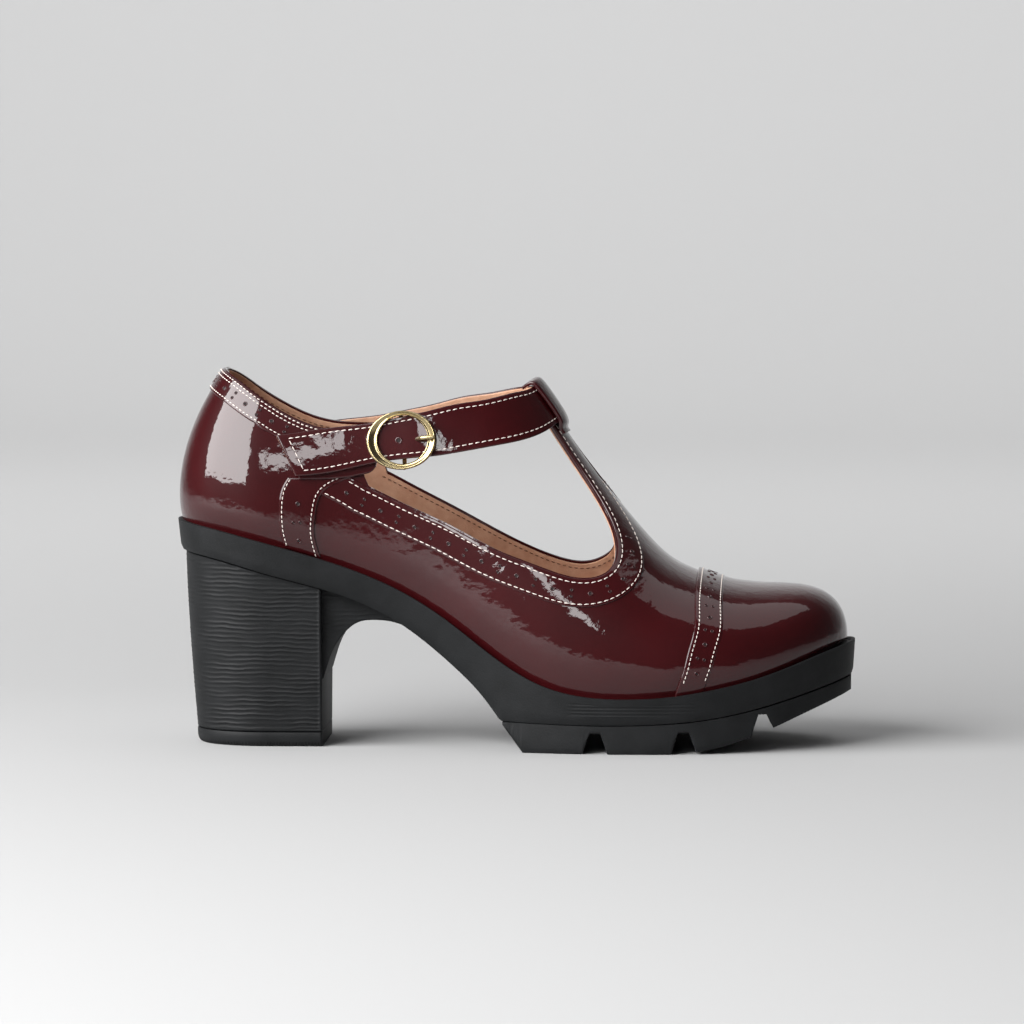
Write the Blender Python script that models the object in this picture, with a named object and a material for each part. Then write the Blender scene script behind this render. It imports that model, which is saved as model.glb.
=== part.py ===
"""T-strap shoe for the right foot, on a lugged platform sole with a block heel.

Units are metres. +X runs from heel to toe, +Z is up, and the buckle is on the outer side, at -Y.
The shoe is laid out from the back of its sole's rim, at x = 0, and an empty then moves it, so that
the origin lies on the floor under the middle of the shoe.
"""
import math

import bmesh
import bpy
import numpy as np

# Overall sizes
LENGTH = 0.246               # back of the rim to the front of the rim
BALL_WIDTH = 0.0912          # the rim across the ball of the foot
HEEL_CENTRE = 0.0335         # from the back of the rim to the widest part of the heel
SEAT_HEIGHT = 0.0813         # top of the rim at the back
PLATFORM_HEIGHT = 0.0200     # top of the rim under the ball
TOE_LIFT = 0.0180            # how far the rim climbs from the ball to the toe
INSTEP_HEIGHT = 0.1035       # top of the T-strap, above the platform

# The upper on its last
WALL = 0.0018                # leather with its lining
FEATHER_SIDE = 0.0030        # from the rim's edge in to the foot of the upper, at the sides
FEATHER_BACK = 0.0015        # the same at the back
FEATHER_TOE = 0.0053         # the same at the toe
TUCK = 0.0020                # how far the upper swells out above its foot
TOE_SWING = 0.0030           # the toe's tip lies this far towards the inner side
GAP = 0.0003                 # clearance between pieces that meet
SEAT_GAP = 0.0004            # clearance between a strap or strip and the curved leather under it
CAP_FOOT = 0.020             # where the cap's foot starts on its profile, just clear of the platform
OVERLAY = 0.0008             # thickness of a strip or cap sewn on the upper

# Sole and heel
BAND_DRAFT = 0.0012          # how far the band's lower edge is set in
WAIST_DRAFT = 0.0030         # the same in the waist, where the side is hollow
HEEL_SET_IN = 0.0016         # the block is set in from the band's lower edge
HEEL_TAPER = 0.0040          # and this much more at its foot
HEEL_FRONT = 0.0540          # flat front of the block, from the back of the rim
GUSSET_SET_IN = 0.0040       # the gusset in front of the block is set in from the block's side
LIFT_HEIGHT = 0.0052         # the heel's rubber tip
LIFT_CHAMFER = 0.0016        # the tip's edge is rounded off by this much
NOTCH_SLOPE = 0.0025         # each wall of a tread notch leans by this much
TREAD_SET_IN = 0.0006        # the tread's side is set in from the platform's side
INSOLE_THICK = 0.0024
INSOLE_GAP = 0.0006
INSOLE_TOE_GAP = 0.0045

# Straps and buckle
STRAP_THICK = 0.0018
TAB_THICK = 0.0014
LOOP_THICK = 0.0013
LOOP_HALF_WIDTH = 0.0086
BUCKLE_LONG = 0.0255         # along the strap
BUCKLE_TALL = 0.0212         # across the strap
BUCKLE_WIRE = 0.0010         # half the frame's thickness
SIDE_BAR = 0.0037            # width of the frame at its two sides
END_BAR = 0.0018             # and at its top and bottom
BAR_RADIUS = 0.0008
EYE_RADIUS = 0.0019          # outside of the tab's eye and the prong's hook round the bar
PRONG_RADIUS = 0.0008
HOLE_PLACE = 0.0056          # the prong's hole, ahead of the buckle's centre
BUCKLE_X = 0.0833            # centre of the buckle, from the back of the rim
HOLE_RADIUS = 0.0015         # the strap's hole that the prong comes through
TAB_MARGIN = 0.0015          # the tab is narrower than the strap by this much at each edge

# Where things start and end, as shares of the length
OPEN_END = 0.40              # the last has a lid in front of this place, and is open behind it
LID_SHARE = 0.74             # height of the open last's walls
WAIST_START = 0.22
WAIST_END = 0.44
TREAD_START = 0.4855
PARTING_START = 0.47         # the platform's underside follows the tread's top from here
GUSSET_END = 0.338
CAP_START = 0.769            # rear edge of the toe cap at the ridge
CAP_LEAN = 0.030             # its foot lies this much further back
CAP_STRIP_SHARE = 0.111      # share of the cap that its strip takes up
COLLAR_STRIP_END = 0.0375    # the collar strip ends this far from the back, in metres
COLLAR_STRIP_TOP = 0.008     # and lies this share of the height below the collar
COLLAR_STRIP_DROP = 0.128    # its depth as a share of the height
CORNER_SHARE = 0.474         # height of the opening at the quarter's corner
TAB_FADE_START = 0.345       # the strap rides over the tab up to here
TAB_FADE = 0.10              # and comes down to the leather over this much

# Shape numbers of the last: powers of the rounded curves
HEEL_POWER = 2.2
TOE_POWER = 2.45
TOE_ROUND = 2.05
CROWN_POWER = 5.0
CROWN_ROUND = 2.3
BACK_PINCH = 0.40            # how far the back of the heel draws in towards the collar
TUCK_END = 0.2               # share of a section's rows that lie below its widest point

BALL_X = 0.655               # share of the length at which the toe's curve begins
CROWN_X = 0.835              # share of the length at which the toe's top begins to fall
TIP_RISE = 0.0010            # height of the toe's tip above the rim

# The rim from the side. Columns: place along the length, climb towards the heel (share of the seat's
# height over the platform), lift towards the toe (share of TOE_LIFT).
RIM_ROWS = (
    (0.000, 1.000, 0.000),
    (0.060, 0.960, 0.000),
    (0.138, 0.884, 0.000),
    (0.228, 0.780, 0.000),
    (0.337, 0.606, 0.000),
    (0.406, 0.440, 0.000),
    (0.495, 0.181, 0.000),
    (0.550, 0.068, 0.000),
    (0.600, 0.017, 0.000),
    (0.680, 0.000, 0.000),
    (0.740, 0.000, 0.055),
    (0.791, 0.000, 0.165),
    (0.852, 0.000, 0.350),
    (0.913, 0.000, 0.620),
    (0.954, 0.000, 0.820),
    (1.000, 0.000, 1.000),
)

# The rim from above. Columns: place, outer half width, inner half width (shares of BALL_WIDTH).
PLAN_ROWS = (
    (0.080, 0.340, 0.340),
    (0.136, 0.341, 0.341),
    (0.190, 0.336, 0.334),
    (0.250, 0.326, 0.316),
    (0.340, 0.334, 0.302),
    (0.440, 0.396, 0.345),
    (0.540, 0.465, 0.430),
    (0.620, 0.496, 0.488),
    (0.680, 0.501, 0.503),
    (1.000, 0.500, 0.500),
)

# The top of the last along its middle. Columns: place, height over the platform (share of
# INSTEP_HEIGHT). Behind the T-strap the last is open, and the numbers only steer its walls.
RIDGE_ROWS = (
    (0.080, 1.256),
    (0.136, 1.256),
    (0.190, 1.270),
    (0.250, 1.320),
    (0.350, 1.375),
    (0.450, 1.265),
    (0.544, 1.000),
    (0.585, 0.856),
    (0.634, 0.706),
    (0.682, 0.570),
    (0.727, 0.462),
    (0.768, 0.412),
    (0.812, 0.376),
    (0.860, 0.361),
    (0.930, 0.357),
    (1.000, 0.352),
)

# How far the sections draw in above their widest point. Columns: place, pinch.
PINCH_ROWS = (
    (0.080, 0.19),
    (0.136, 0.19),
    (0.190, 0.15),
    (0.260, 0.04),
    (0.350, -0.03),
    (0.430, 0.08),
    (0.520, 0.22),
    (0.590, 0.25),
    (0.660, 0.12),
    (0.740, -0.05),
    (0.850, -0.12),
    (1.000, -0.15),
)

# The opening's edge. Columns: place along the length, height as a share of the way from the rim up
# to the last's top. It runs from the back of the collar to the quarter's corner.
COLLAR_OUTER = (
    (0.0715, 0.800),
    (0.094, 0.760),
    (0.120, 0.705),
    (0.146, 0.655),
    (0.178, 0.603),
    (0.226, 0.551),
    (0.262, 0.537),
)
COLLAR_INNER = (
    (0.0715, 0.800),
    (0.091, 0.758),
    (0.112, 0.706),
    (0.146, 0.640),
    (0.178, 0.592),
    (0.226, 0.546),
    (0.285, 0.532),
)
# The throat, from the quarter's corner along the vamp, round its front and up the T-strap.
THROAT_OUTER = (
    (0.287, 0.333),
    (0.341, 0.304),
    (0.408, 0.312),
    (0.470, 0.347),
    (0.525, 0.404),
    (0.567, 0.456),
    (0.597, 0.503),
    (0.621, 0.560),
    (0.641, 0.640),
    (0.651, 0.730),
    (0.651, 0.812),
    (0.643, 0.873),
    (0.627, 0.913),
    (0.604, 0.938),
    (0.576, 0.950),
    (0.548, 0.958),
)
THROAT_INNER = (
    (0.298, 0.358),
    (0.341, 0.330),
    (0.408, 0.324),
    (0.470, 0.350),
    (0.525, 0.393),
    (0.567, 0.443),
    (0.597, 0.500),
    (0.619, 0.570),
    (0.635, 0.652),
    (0.643, 0.740),
    (0.643, 0.812),
    (0.637, 0.868),
    (0.622, 0.908),
    (0.601, 0.933),
    (0.575, 0.947),
    (0.548, 0.958),
)

# The ankle strap's edges on the last. Columns: place, height as a share of the way from the rim up
# to the last's top. Each ends on the ridge in front.
STRAP_LOW = (
    (0.183, 0.338),
    (0.237, 0.368),
    (0.300, 0.418),
    (0.345, 0.455),
    (0.387, 0.502),
    (0.433, 0.582),
    (0.484, 0.698),
    (0.525, 0.821),
    (0.545, 0.904),
    (0.563, 1.000),
)
STRAP_TOP = (
    (0.154, 0.507),
    (0.221, 0.541),
    (0.289, 0.556),
    (0.330, 0.583),
    (0.372, 0.628),
    (0.415, 0.700),
    (0.460, 0.790),
    (0.500, 0.900),
    (0.517, 0.956),
    (0.527, 1.000),
)
# The strip at the quarter's front edge. Columns: place, height as a share of the way from the rim up.
QUARTER_FRONT = (
    (0.2200, 0.000),
    (0.2105, 0.103),
    (0.2107, 0.178),
    (0.2160, 0.244),
    (0.2265, 0.291),
    (0.2475, 0.320),
)
QUARTER_REAR = (
    (0.1670, 0.000),
    (0.1615, 0.061),
    (0.1590, 0.124),
    (0.1590, 0.209),
    (0.1643, 0.286),
    (0.1750, 0.345),
)
STRAP_INNER_END = 0.215      # the inner end, sewn to the quarter
STRAP_LEAN = 0.030           # the inner end's slant
TAB_START = 0.205            # the tab's end on the quarter

# The underside of the sole's waist and the line between platform and tread. Columns: place along
# the length, share of SEAT_HEIGHT.
ARCH_ROWS = (
    (0.000, 0.866),
    (0.060, 0.838),
    (0.138, 0.776),
    (0.228, 0.702),
    (0.276, 0.650),
    (0.307, 0.606),
    (0.329, 0.570),
    (0.380, 0.464),
    (0.429, 0.340),
    (0.454, 0.266),
    (0.478, 0.175),
    (0.500, 0.080),
)
# Columns: place along the length, share of PLATFORM_HEIGHT.
PARTING_ROWS = (
    (0.480, 0.565),
    (0.550, 0.540),
    (0.630, 0.525),
    (0.710, 0.545),
    (0.791, 0.635),
    (0.872, 0.835),
    (0.933, 1.045),
    (1.000, 1.290),
)
TREAD_ROWS = (
    (0.480, 0.000),
    (0.560, 0.000),
    (0.650, 0.000),
    (0.735, 0.000),
    (0.790, 0.080),
    (0.850, 0.285),
    (0.920, 0.640),
    (1.000, 1.030),
)
# The three notches across the tread. Columns: place of the middle, width at the mouth (share of
# the length), height of the notch's roof (share of PLATFORM_HEIGHT).
NOTCH_ROWS = (
    (0.623, 0.036, 0.365),
    (0.752, 0.036, 0.385),
    (0.866, 0.032, 0.690),
)
# The heel's breast under the arch. Columns: place, height (share of SEAT_HEIGHT).
BREAST_ROWS = (
    (0.2210, 0.300),
    (0.2320, 0.408),
    (0.2460, 0.485),
    (0.2660, 0.544),
    (0.2950, 0.563),
    (0.3200, 0.556),
    (0.3400, 0.538),
)


def spline(rows, column, at):
    """Natural cubic spline through one column of a table, read at the places `at`."""
    table = np.asarray(rows, float)
    x, y = table[:, 0], table[:, column]
    step, rise = np.diff(x), np.diff(y)
    count = len(x)
    matrix = np.eye(count)
    right = np.zeros(count)
    for i in range(1, count - 1):
        matrix[i, i - 1:i + 2] = step[i - 1], 2 * (step[i - 1] + step[i]), step[i]
        right[i] = 6 * (rise[i] / step[i] - rise[i - 1] / step[i - 1])
    bend = np.linalg.solve(matrix, right)
    at = np.asarray(at, float)
    i = np.clip(np.searchsorted(x, at) - 1, 0, count - 2)
    a = (x[i + 1] - at) / step[i]
    b = 1 - a
    curve = ((a ** 3 - a) * bend[i] + (b ** 3 - b) * bend[i + 1]) * step[i] ** 2 / 6
    return a * y[i] + b * y[i + 1] + curve


def ease(t):
    """Smooth step from 0 to 1."""
    t = np.clip(t, 0, 1)
    return t * t * (3 - 2 * t)


def rim(x):
    """Height of the rim's top edge at x."""
    climb = spline(RIM_ROWS, 1, x / LENGTH)
    lift = spline(RIM_ROWS, 2, x / LENGTH)
    return PLATFORM_HEIGHT + (SEAT_HEIGHT - PLATFORM_HEIGHT) * climb + TOE_LIFT * lift


def ridge(x, tip):
    """Height of the last's top along its middle: a crown line that rounds down to the toe's tip."""
    crown = PLATFORM_HEIGHT + INSTEP_HEIGHT * spline(RIDGE_ROWS, 1, x / LENGTH)
    start = CROWN_X * LENGTH
    reach = np.clip((x - start) / (tip - start), 0, 1)
    fall = (1 - reach ** CROWN_POWER) ** (1 / CROWN_ROUND)
    low = rim(np.asarray(tip)) + TIP_RISE
    return low + (crown - low) * fall


def level(x, share):
    """Height at a share of the way from the rim up to the last's top."""
    return rim(x) + share * (ridge(x, upper_tip()) - rim(x))


def upper_tip():
    """Place of the upper's foremost point."""
    return LENGTH - FEATHER_TOE + 0.8 * TUCK


def toe_rounding(x, tip):
    """1 behind the ball, falling to 0 at the toe's tip on a rounded curve."""
    start = BALL_X * LENGTH
    reach = np.clip((x - start) / (tip - start), 0, 1)
    return (1 - reach ** TOE_POWER) ** (1 / TOE_ROUND)


def swing(x):
    """Sideways place of the middle line, which bends inwards towards the toe."""
    return TOE_SWING * ease((x / LENGTH - BALL_X) / (1 - BALL_X)) ** 1.5


def rim_half_width(x, side):
    """Half width of the rim's plan from the table, before the toe is rounded."""
    outer = spline(PLAN_ROWS, 1, x / LENGTH)
    inner = spline(PLAN_ROWS, 2, x / LENGTH)
    return BALL_WIDTH * np.where(side < 0, outer, inner)


def plan(u, side, back, flank, toe):
    """Point of the rim's outline, set in by `back`, `flank` and `toe` at its back, sides and tip.

    u runs from 0 at the back through 1 at the heel's widest place to 2 at the toe's tip.
    """
    turn = np.clip(u, 0, 1) * math.pi / 2
    round_x = np.cos(turn) ** (2 / HEEL_POWER)
    round_y = np.sin(turn) ** (2 / HEEL_POWER)
    tip = LENGTH - toe
    ahead = np.sin(np.clip(u - 1, 0, 1) * math.pi / 2)
    behind = HEEL_CENTRE - (HEEL_CENTRE - back) * round_x
    x = np.where(u < 1, behind, HEEL_CENTRE + (tip - HEEL_CENTRE) * ahead)
    reach = np.maximum(x, HEEL_CENTRE)
    width = (rim_half_width(reach, side) - flank) * toe_rounding(reach, tip)
    return x, swing(x) + side * width * np.where(u < 1, round_y, 1.0)


def u_at(x, tip):
    """The value of u, past the heel's centre, at which an outline reaches x."""
    return 1 + np.arcsin(np.clip((x - HEEL_CENTRE) / (tip - HEEL_CENTRE), 0, 1)) / (math.pi / 2)


def pinch(x):
    """How far a section draws in towards its ridge: above 0 leaner than an ellipse, below 0 fuller."""
    return spline(PINCH_ROWS, 1, x / LENGTH)


def form(u, side, v, offset=0.0):
    """Points on the last's outside, moved out along its normal by offset.

    u goes from the back to the toe, side is -1 outside and +1 inside, and v goes from 0 at the foot
    to 1 on the ridge. Below TUCK_END a section swells out from its foot. Above it, it is a quarter of
    an ellipse from the widest point up to the ridge, drawn in by the pinch.
    """
    u, side, v = np.broadcast_arrays(np.asarray(u, float), np.asarray(side, float), np.asarray(v, float))
    base = _form(u, side, v)
    if offset == 0.0:
        return base
    small = 1e-4
    u0, u1 = np.clip(u - small, 0, 2), np.clip(u + small, 0, 2 - 1e-3)
    u0 = np.minimum(u0, u1 - small)
    v0, v1 = np.clip(v - small, 0, 1), np.clip(v + small, 0, 1)
    along = _form(u1, side, v) - _form(u0, side, v)
    if np.any(u > 2 - 1e-3):
        along = np.where((u > 2 - 1e-3)[..., None], _form(u1, side, v) - _form(u1 - 0.01, side, v), along)
    across = _form(np.minimum(u, 2 - 2e-3), side, v1) - _form(np.minimum(u, 2 - 2e-3), side, v0)
    normal = np.cross(along, across) * -side[..., None]
    normal /= np.maximum(np.linalg.norm(normal, axis=-1, keepdims=True), 1e-12)
    return base + offset * normal


def _form(u, side, v):
    tip = upper_tip()
    ahead = np.sin(np.clip(u - 1, 0, 1) * math.pi / 2)
    turn = np.clip(u, 0, 1) * math.pi / 2
    round_x = np.cos(turn) ** (2 / HEEL_POWER)
    round_y = np.sin(turn) ** (2 / HEEL_POWER)
    behind = u < 1
    foot_back = HEEL_CENTRE - FEATHER_BACK
    station = np.where(behind, HEEL_CENTRE - foot_back * round_x, HEEL_CENTRE + (tip - HEEL_CENTRE) * ahead)
    reach = np.maximum(station, HEEL_CENTRE)
    nose = toe_rounding(reach, tip)
    foot = rim(station) + GAP
    top = ridge(reach, tip)
    share = 0.125 + 0.075 * ease((station / LENGTH - 0.5) / 0.3)
    wide_z = foot + share * (top - foot)
    low = np.clip(v / TUCK_END, 0, 1)
    tuck = (1 - low) ** 2
    rise = np.clip((v - TUCK_END) / (1 - TUCK_END), 0, 1) * math.pi / 2
    climb = np.sin(rise) ** 2
    side_width = (rim_half_width(reach, side) - FEATHER_SIDE + TUCK) * nose
    width = side_width * np.cos(rise) * (1 - pinch(reach) * climb) - TUCK * nose * tuck
    back_width = (foot_back + 0.5 * TUCK) * np.cos(rise) * (1 - BACK_PINCH * climb) - 0.5 * TUCK * tuck
    x = np.where(behind, HEEL_CENTRE - back_width * round_x, station - 0.8 * TUCK * (1 - nose) * tuck)
    y = swing(station) + side * width * np.where(behind, round_y, 1.0)
    z = np.where(low < 1, foot + (wide_z - foot) * low, wide_z + (top - wide_z) * np.sin(rise))
    return np.stack([x, y, z], -1)


def solve_v(u, side, test):
    """The v at which test(point) changes from below 0 to above 0, found by halving."""
    low = np.full(np.shape(u), 0.0)
    high = np.full(np.shape(u), 1.0)
    for _ in range(40):
        middle = (low + high) / 2
        above = test(_form(u, side, middle)) > 0
        high = np.where(above, middle, high)
        low = np.where(above, low, middle)
    return (low + high) / 2


def v_at_level(u, side, share):
    """The v at which a profile is at a share of the height from the rim to the last's top."""
    return solve_v(u, side, lambda p: p[..., 2] - level(p[..., 0], share))


def v_at_width(u, side, half_width):
    """The v at which a profile comes in to half_width from the middle line."""
    return solve_v(u, side, lambda p: half_width - np.abs(p[..., 1] - swing(p[..., 0])))


def material(name, colour, roughness, metallic=0.0):
    mat = bpy.data.materials.new(name)
    mat.use_nodes = True
    shader = mat.node_tree.nodes["Principled BSDF"]
    shader.inputs["Base Color"].default_value = (*colour, 1.0)
    shader.inputs["Roughness"].default_value = roughness
    shader.inputs["Metallic"].default_value = metallic
    mat.diffuse_color = (*colour, 1.0)
    return mat


def mesh_object(name, mesh, mat):
    """Put a mesh in the scene as a named part under the shoe's empty."""
    obj = bpy.data.objects.new(name, mesh)
    PARTS.objects.link(obj)
    obj.parent = SHOE
    if mat:
        mesh.materials.append(mat)
    return obj


def finish_mesh(bm, name, smooth=40):
    """Merge doubles, drop slivers, point the faces outwards and make the mesh."""
    bmesh.ops.remove_doubles(bm, verts=bm.verts, dist=2e-5)
    bmesh.ops.dissolve_degenerate(bm, edges=bm.edges, dist=1e-5)
    bmesh.ops.recalc_face_normals(bm, faces=bm.faces)
    mesh = bpy.data.meshes.new(name)
    bm.to_mesh(mesh)
    bm.free()
    mesh.shade_smooth()
    mesh.set_sharp_from_angle(angle=math.radians(smooth))
    return mesh


def loft(name, loops, mat, smooth=40):
    """Closed solid through closed loops of equal length, with flat ends."""
    bm = bmesh.new()
    rings = [[bm.verts.new(p) for p in loop] for loop in loops]
    count = len(rings[0])
    for a, b in zip(rings, rings[1:]):
        for k in range(count):
            n = (k + 1) % count
            bm.faces.new((a[k], a[n], b[n], b[k]))
    bm.faces.new(rings[0])
    bm.faces.new(rings[-1][::-1])
    return mesh_object(name, finish_mesh(bm, name, smooth), mat)


def slab(name, inner, outer, mat, smooth=40):
    """Closed solid between two grids of points with the same rows and columns."""
    bm = bmesh.new()
    rows, columns = inner.shape[:2]
    near = [[bm.verts.new(inner[i, j]) for j in range(columns)] for i in range(rows)]
    far = [[bm.verts.new(outer[i, j]) for j in range(columns)] for i in range(rows)]
    for i in range(rows - 1):
        for j in range(columns - 1):
            bm.faces.new((near[i][j], near[i + 1][j], near[i + 1][j + 1], near[i][j + 1]))
            bm.faces.new((far[i][j], far[i][j + 1], far[i + 1][j + 1], far[i + 1][j]))
    for i in range(rows - 1):
        bm.faces.new((near[i][0], far[i][0], far[i + 1][0], near[i + 1][0]))
        bm.faces.new((near[i][-1], near[i + 1][-1], far[i + 1][-1], far[i][-1]))
    for j in range(columns - 1):
        bm.faces.new((near[0][j], near[0][j + 1], far[0][j + 1], far[0][j]))
        bm.faces.new((near[-1][j], far[-1][j], far[-1][j + 1], near[-1][j + 1]))
    return mesh_object(name, finish_mesh(bm, name, smooth), mat)


def as_cutter(obj):
    """Keep an object as a hidden cutter."""
    PARTS.objects.unlink(obj)
    CUTTERS.objects.link(obj)
    obj.hide_render = True
    obj.display_type = "WIRE"
    return obj


def cut(obj, cutter, operation="DIFFERENCE"):
    modifier = obj.modifiers.new(cutter.name, "BOOLEAN")
    modifier.operation = operation
    modifier.solver = "EXACT"
    modifier.object = cutter


def prism(name, outline, low_y, high_y):
    """Cutter: a side outline of x and z points, run across from low_y to high_y."""
    bm = bmesh.new()
    face = bm.faces.new([bm.verts.new((x, low_y, z)) for x, z in outline])
    moved = bmesh.ops.extrude_face_region(bm, geom=[face])["geom"]
    far = [v for v in moved if isinstance(v, bmesh.types.BMVert)]
    bmesh.ops.translate(bm, verts=far, vec=(0, high_y - low_y, 0))
    return as_cutter(mesh_object(name, finish_mesh(bm, name), None))


def last_mesh(name, offset, drop, mat):
    """Closed form of the last: its walls, a bottom and, where the shoe is open, a lid.

    drop carries the foot of the walls further down, for a form that cuts through the bottom.
    """
    stations = np.concatenate([np.linspace(0, 1, 12), 1 + np.linspace(0, 1, 38)[1:]])
    stations[-1] = 2 - 1e-3
    closed = ease((stations - u_at(OPEN_END * LENGTH, upper_tip())) / 0.12)
    lid = LID_SHARE + (1 - LID_SHARE) * closed
    above = TUCK_END + (1 - TUCK_END) * np.linspace(0, 1, 15)[1:]
    rows = np.concatenate([TUCK_END * np.array([0.0, 0.35, 0.7, 1.0]), above])
    bm = bmesh.new()
    walls = {}
    for side in (-1, 1):
        points = form(stations[:, None], side, lid[:, None] * rows[None, :], offset)
        if drop:
            foot = points[:, :1].copy()
            foot[..., 2] -= drop
            points = np.concatenate([foot, points], axis=1)
        walls[side] = [[bm.verts.new(p) for p in line] for line in points]
        for a, b in zip(walls[side], walls[side][1:]):
            for j in range(len(a) - 1):
                bm.faces.new((a[j], b[j], b[j + 1], a[j + 1]))
    for j in (0, -1):
        outer, inner = walls[-1], walls[1]
        for i in range(len(outer) - 1):
            bm.faces.new((outer[i][j], inner[i][j], inner[i + 1][j], outer[i + 1][j]))
    front = walls[-1][-1], walls[1][-1]
    for j in range(len(front[0]) - 1):
        bm.faces.new((front[0][j], front[0][j + 1], front[1][j + 1], front[1][j]))
    return mesh_object(name, finish_mesh(bm, name), mat)


def opening_outline(collar, throat):
    """Side outline of everything that is cut away above the collar and inside the throat."""
    collar_x = np.linspace(collar[0][0], collar[-1][0], 14)
    points = [(x * LENGTH, level(x * LENGTH, float(spline(collar, 1, x)))) for x in collar_x]
    corner = throat[0][0] * LENGTH
    points.append((corner - 0.002, level(corner, CORNER_SHARE)))
    table = np.asarray(throat)
    run = np.concatenate([[0], np.cumsum(np.hypot(np.diff(table[:, 0]) * 3, np.diff(table[:, 1])))])
    rows = np.column_stack([run, table])
    at = np.linspace(0, run[-1], 34)
    for x, share in zip(spline(rows, 1, at), spline(rows, 2, at)):
        points.append((x * LENGTH, level(x * LENGTH, share)))
    end = STRAP_TOP[-1][0] * LENGTH
    end_z = ridge(np.asarray(end), upper_tip())
    slope = (ridge(np.asarray(end + 0.001), upper_tip()) - end_z) / 0.001
    across = np.array([-slope, 1.0]) / math.hypot(slope, 1.0)
    for reach in (-0.0042, 0.006):
        points.append((end + across[0] * reach, end_z + across[1] * reach))
    points += [(end, end_z + 0.06), (-0.02, end_z + 0.06), (-0.02, level(0.0, collar[0][1]))]
    return points


def make_upper():
    """Quarters, vamp and T-strap as one hollow shell."""
    upper = last_mesh("upper", 0.0, 0.0, LEATHER)
    cut(upper, as_cutter(last_mesh("inside_form", -WALL, 0.006, None)))
    outer = opening_outline(COLLAR_OUTER, THROAT_OUTER)
    inner = opening_outline(COLLAR_INNER, THROAT_INNER)
    cut(upper, prism("outer_opening", outer, -BALL_WIDTH, 0.0002))
    cut(upper, prism("inner_opening", inner, -0.0002, BALL_WIDTH))
    return upper


def make_sole():
    """Platform with its rim band, and the tread under the forefoot."""
    arch_end = TREAD_START * LENGTH
    places = np.concatenate([np.linspace(0.035, 1, 11), 1 + np.linspace(0, 1, 40)[1:-1], [1.988]])
    platform = []
    rows = []
    for u in places:
        x, _ = plan(u, -1, 0, 0, 0)
        rows.append((float(x), u))
    rows.append((arch_end, float(u_at(arch_end, LENGTH))))
    for x, u in sorted(rows):
        under = underside(x)
        set_in = BAND_DRAFT + (WAIST_DRAFT - BAND_DRAFT) * waist(x)
        loop = []
        for side in (-1, 1):
            edge_x, top_y = plan(u, side, 0, 0, 0)
            low_x, low_y = plan(u, side, set_in, set_in, 0)
            top = (float(edge_x), float(top_y), float(rim(edge_x)))
            low = (float(low_x), float(low_y), float(under))
            loop += [low, top] if side < 0 else [top, low]
        platform.append(loop)
    loft("platform", platform, RUBBER)

    tread = []
    bottoms = notch_profile(arch_end)
    for x, z in bottoms:
        u = float(u_at(x, LENGTH - TREAD_SET_IN))
        loop = []
        for side in (-1, 1):
            _, y = plan(u, side, 0, BAND_DRAFT + TREAD_SET_IN, TREAD_SET_IN)
            top = (x, float(y), float(parting(x)) - GAP)
            low = (x, float(y), z)
            loop += [low, top] if side < 0 else [top, low]
        tread.append(loop)
    loft("tread", tread, RUBBER, smooth=25)


def waist(x):
    """1 in the middle of the waist, 0 under the heel and the ball."""
    share = x / LENGTH
    return ease((share - WAIST_START) / 0.12) * (1 - ease((share - WAIST_END) / 0.10))


def parting(x):
    return PLATFORM_HEIGHT * spline(PARTING_ROWS, 1, x / LENGTH)


def underside(x):
    """Underside of the platform: the rim band and the arch, then the line where the tread begins."""
    arch = SEAT_HEIGHT * spline(ARCH_ROWS, 1, min(x / LENGTH, 0.5))
    return max(float(arch), float(parting(x)) if x / LENGTH > PARTING_START else 0.0)


def notch_profile(start):
    """Bottom line of the tread from the arch to the toe, with its notches."""
    toe_end = (LENGTH - TREAD_SET_IN) - 0.0008
    heel_lug = start + 0.0078
    points = [(start + 0.0004, float(parting(start)) - GAP - 0.0010), (heel_lug, 0.0)]
    plain = np.linspace(heel_lug, toe_end, 26)[1:]
    tip_steps = LENGTH - 0.030 * (1 - np.sin(np.linspace(0.2, 1.0, 8) * math.pi / 2)) - 0.0016
    plain = sorted(set([x for x in plain if x < LENGTH - 0.03] + list(tip_steps)))
    notches = []
    for place, mouth, roof in NOTCH_ROWS:
        middle, half = place * LENGTH, mouth * LENGTH / 2
        top = roof * PLATFORM_HEIGHT
        notches.append((middle - half, middle + half))
        for x, z in ((middle - half, None), (middle - half + NOTCH_SLOPE, top),
                     (middle + half - NOTCH_SLOPE, top), (middle + half, None)):
            points.append((x, tread_bottom(x) if z is None else z))
    for x in plain:
        if all(not low - 0.0012 < x < high + 0.0012 for low, high in notches):
            points.append((float(x), tread_bottom(x)))
    return sorted(points)


def tread_bottom(x):
    return max(0.0, float(PLATFORM_HEIGHT * spline(TREAD_ROWS, 1, x / LENGTH)))


def heel_outline(share, set_in, taper):
    """Half outline of the heel from its back to its flat front: place and half width."""
    angle = share * math.pi / 2
    back = BAND_DRAFT + set_in + taper
    x = HEEL_CENTRE - (HEEL_CENTRE - back) * math.cos(angle) ** (2 / HEEL_POWER)
    width = float(rim_half_width(np.asarray(HEEL_CENTRE), -1)) - BAND_DRAFT - set_in - 1.1 * taper
    return x, width * math.sin(angle) ** (2 / HEEL_POWER)


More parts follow.
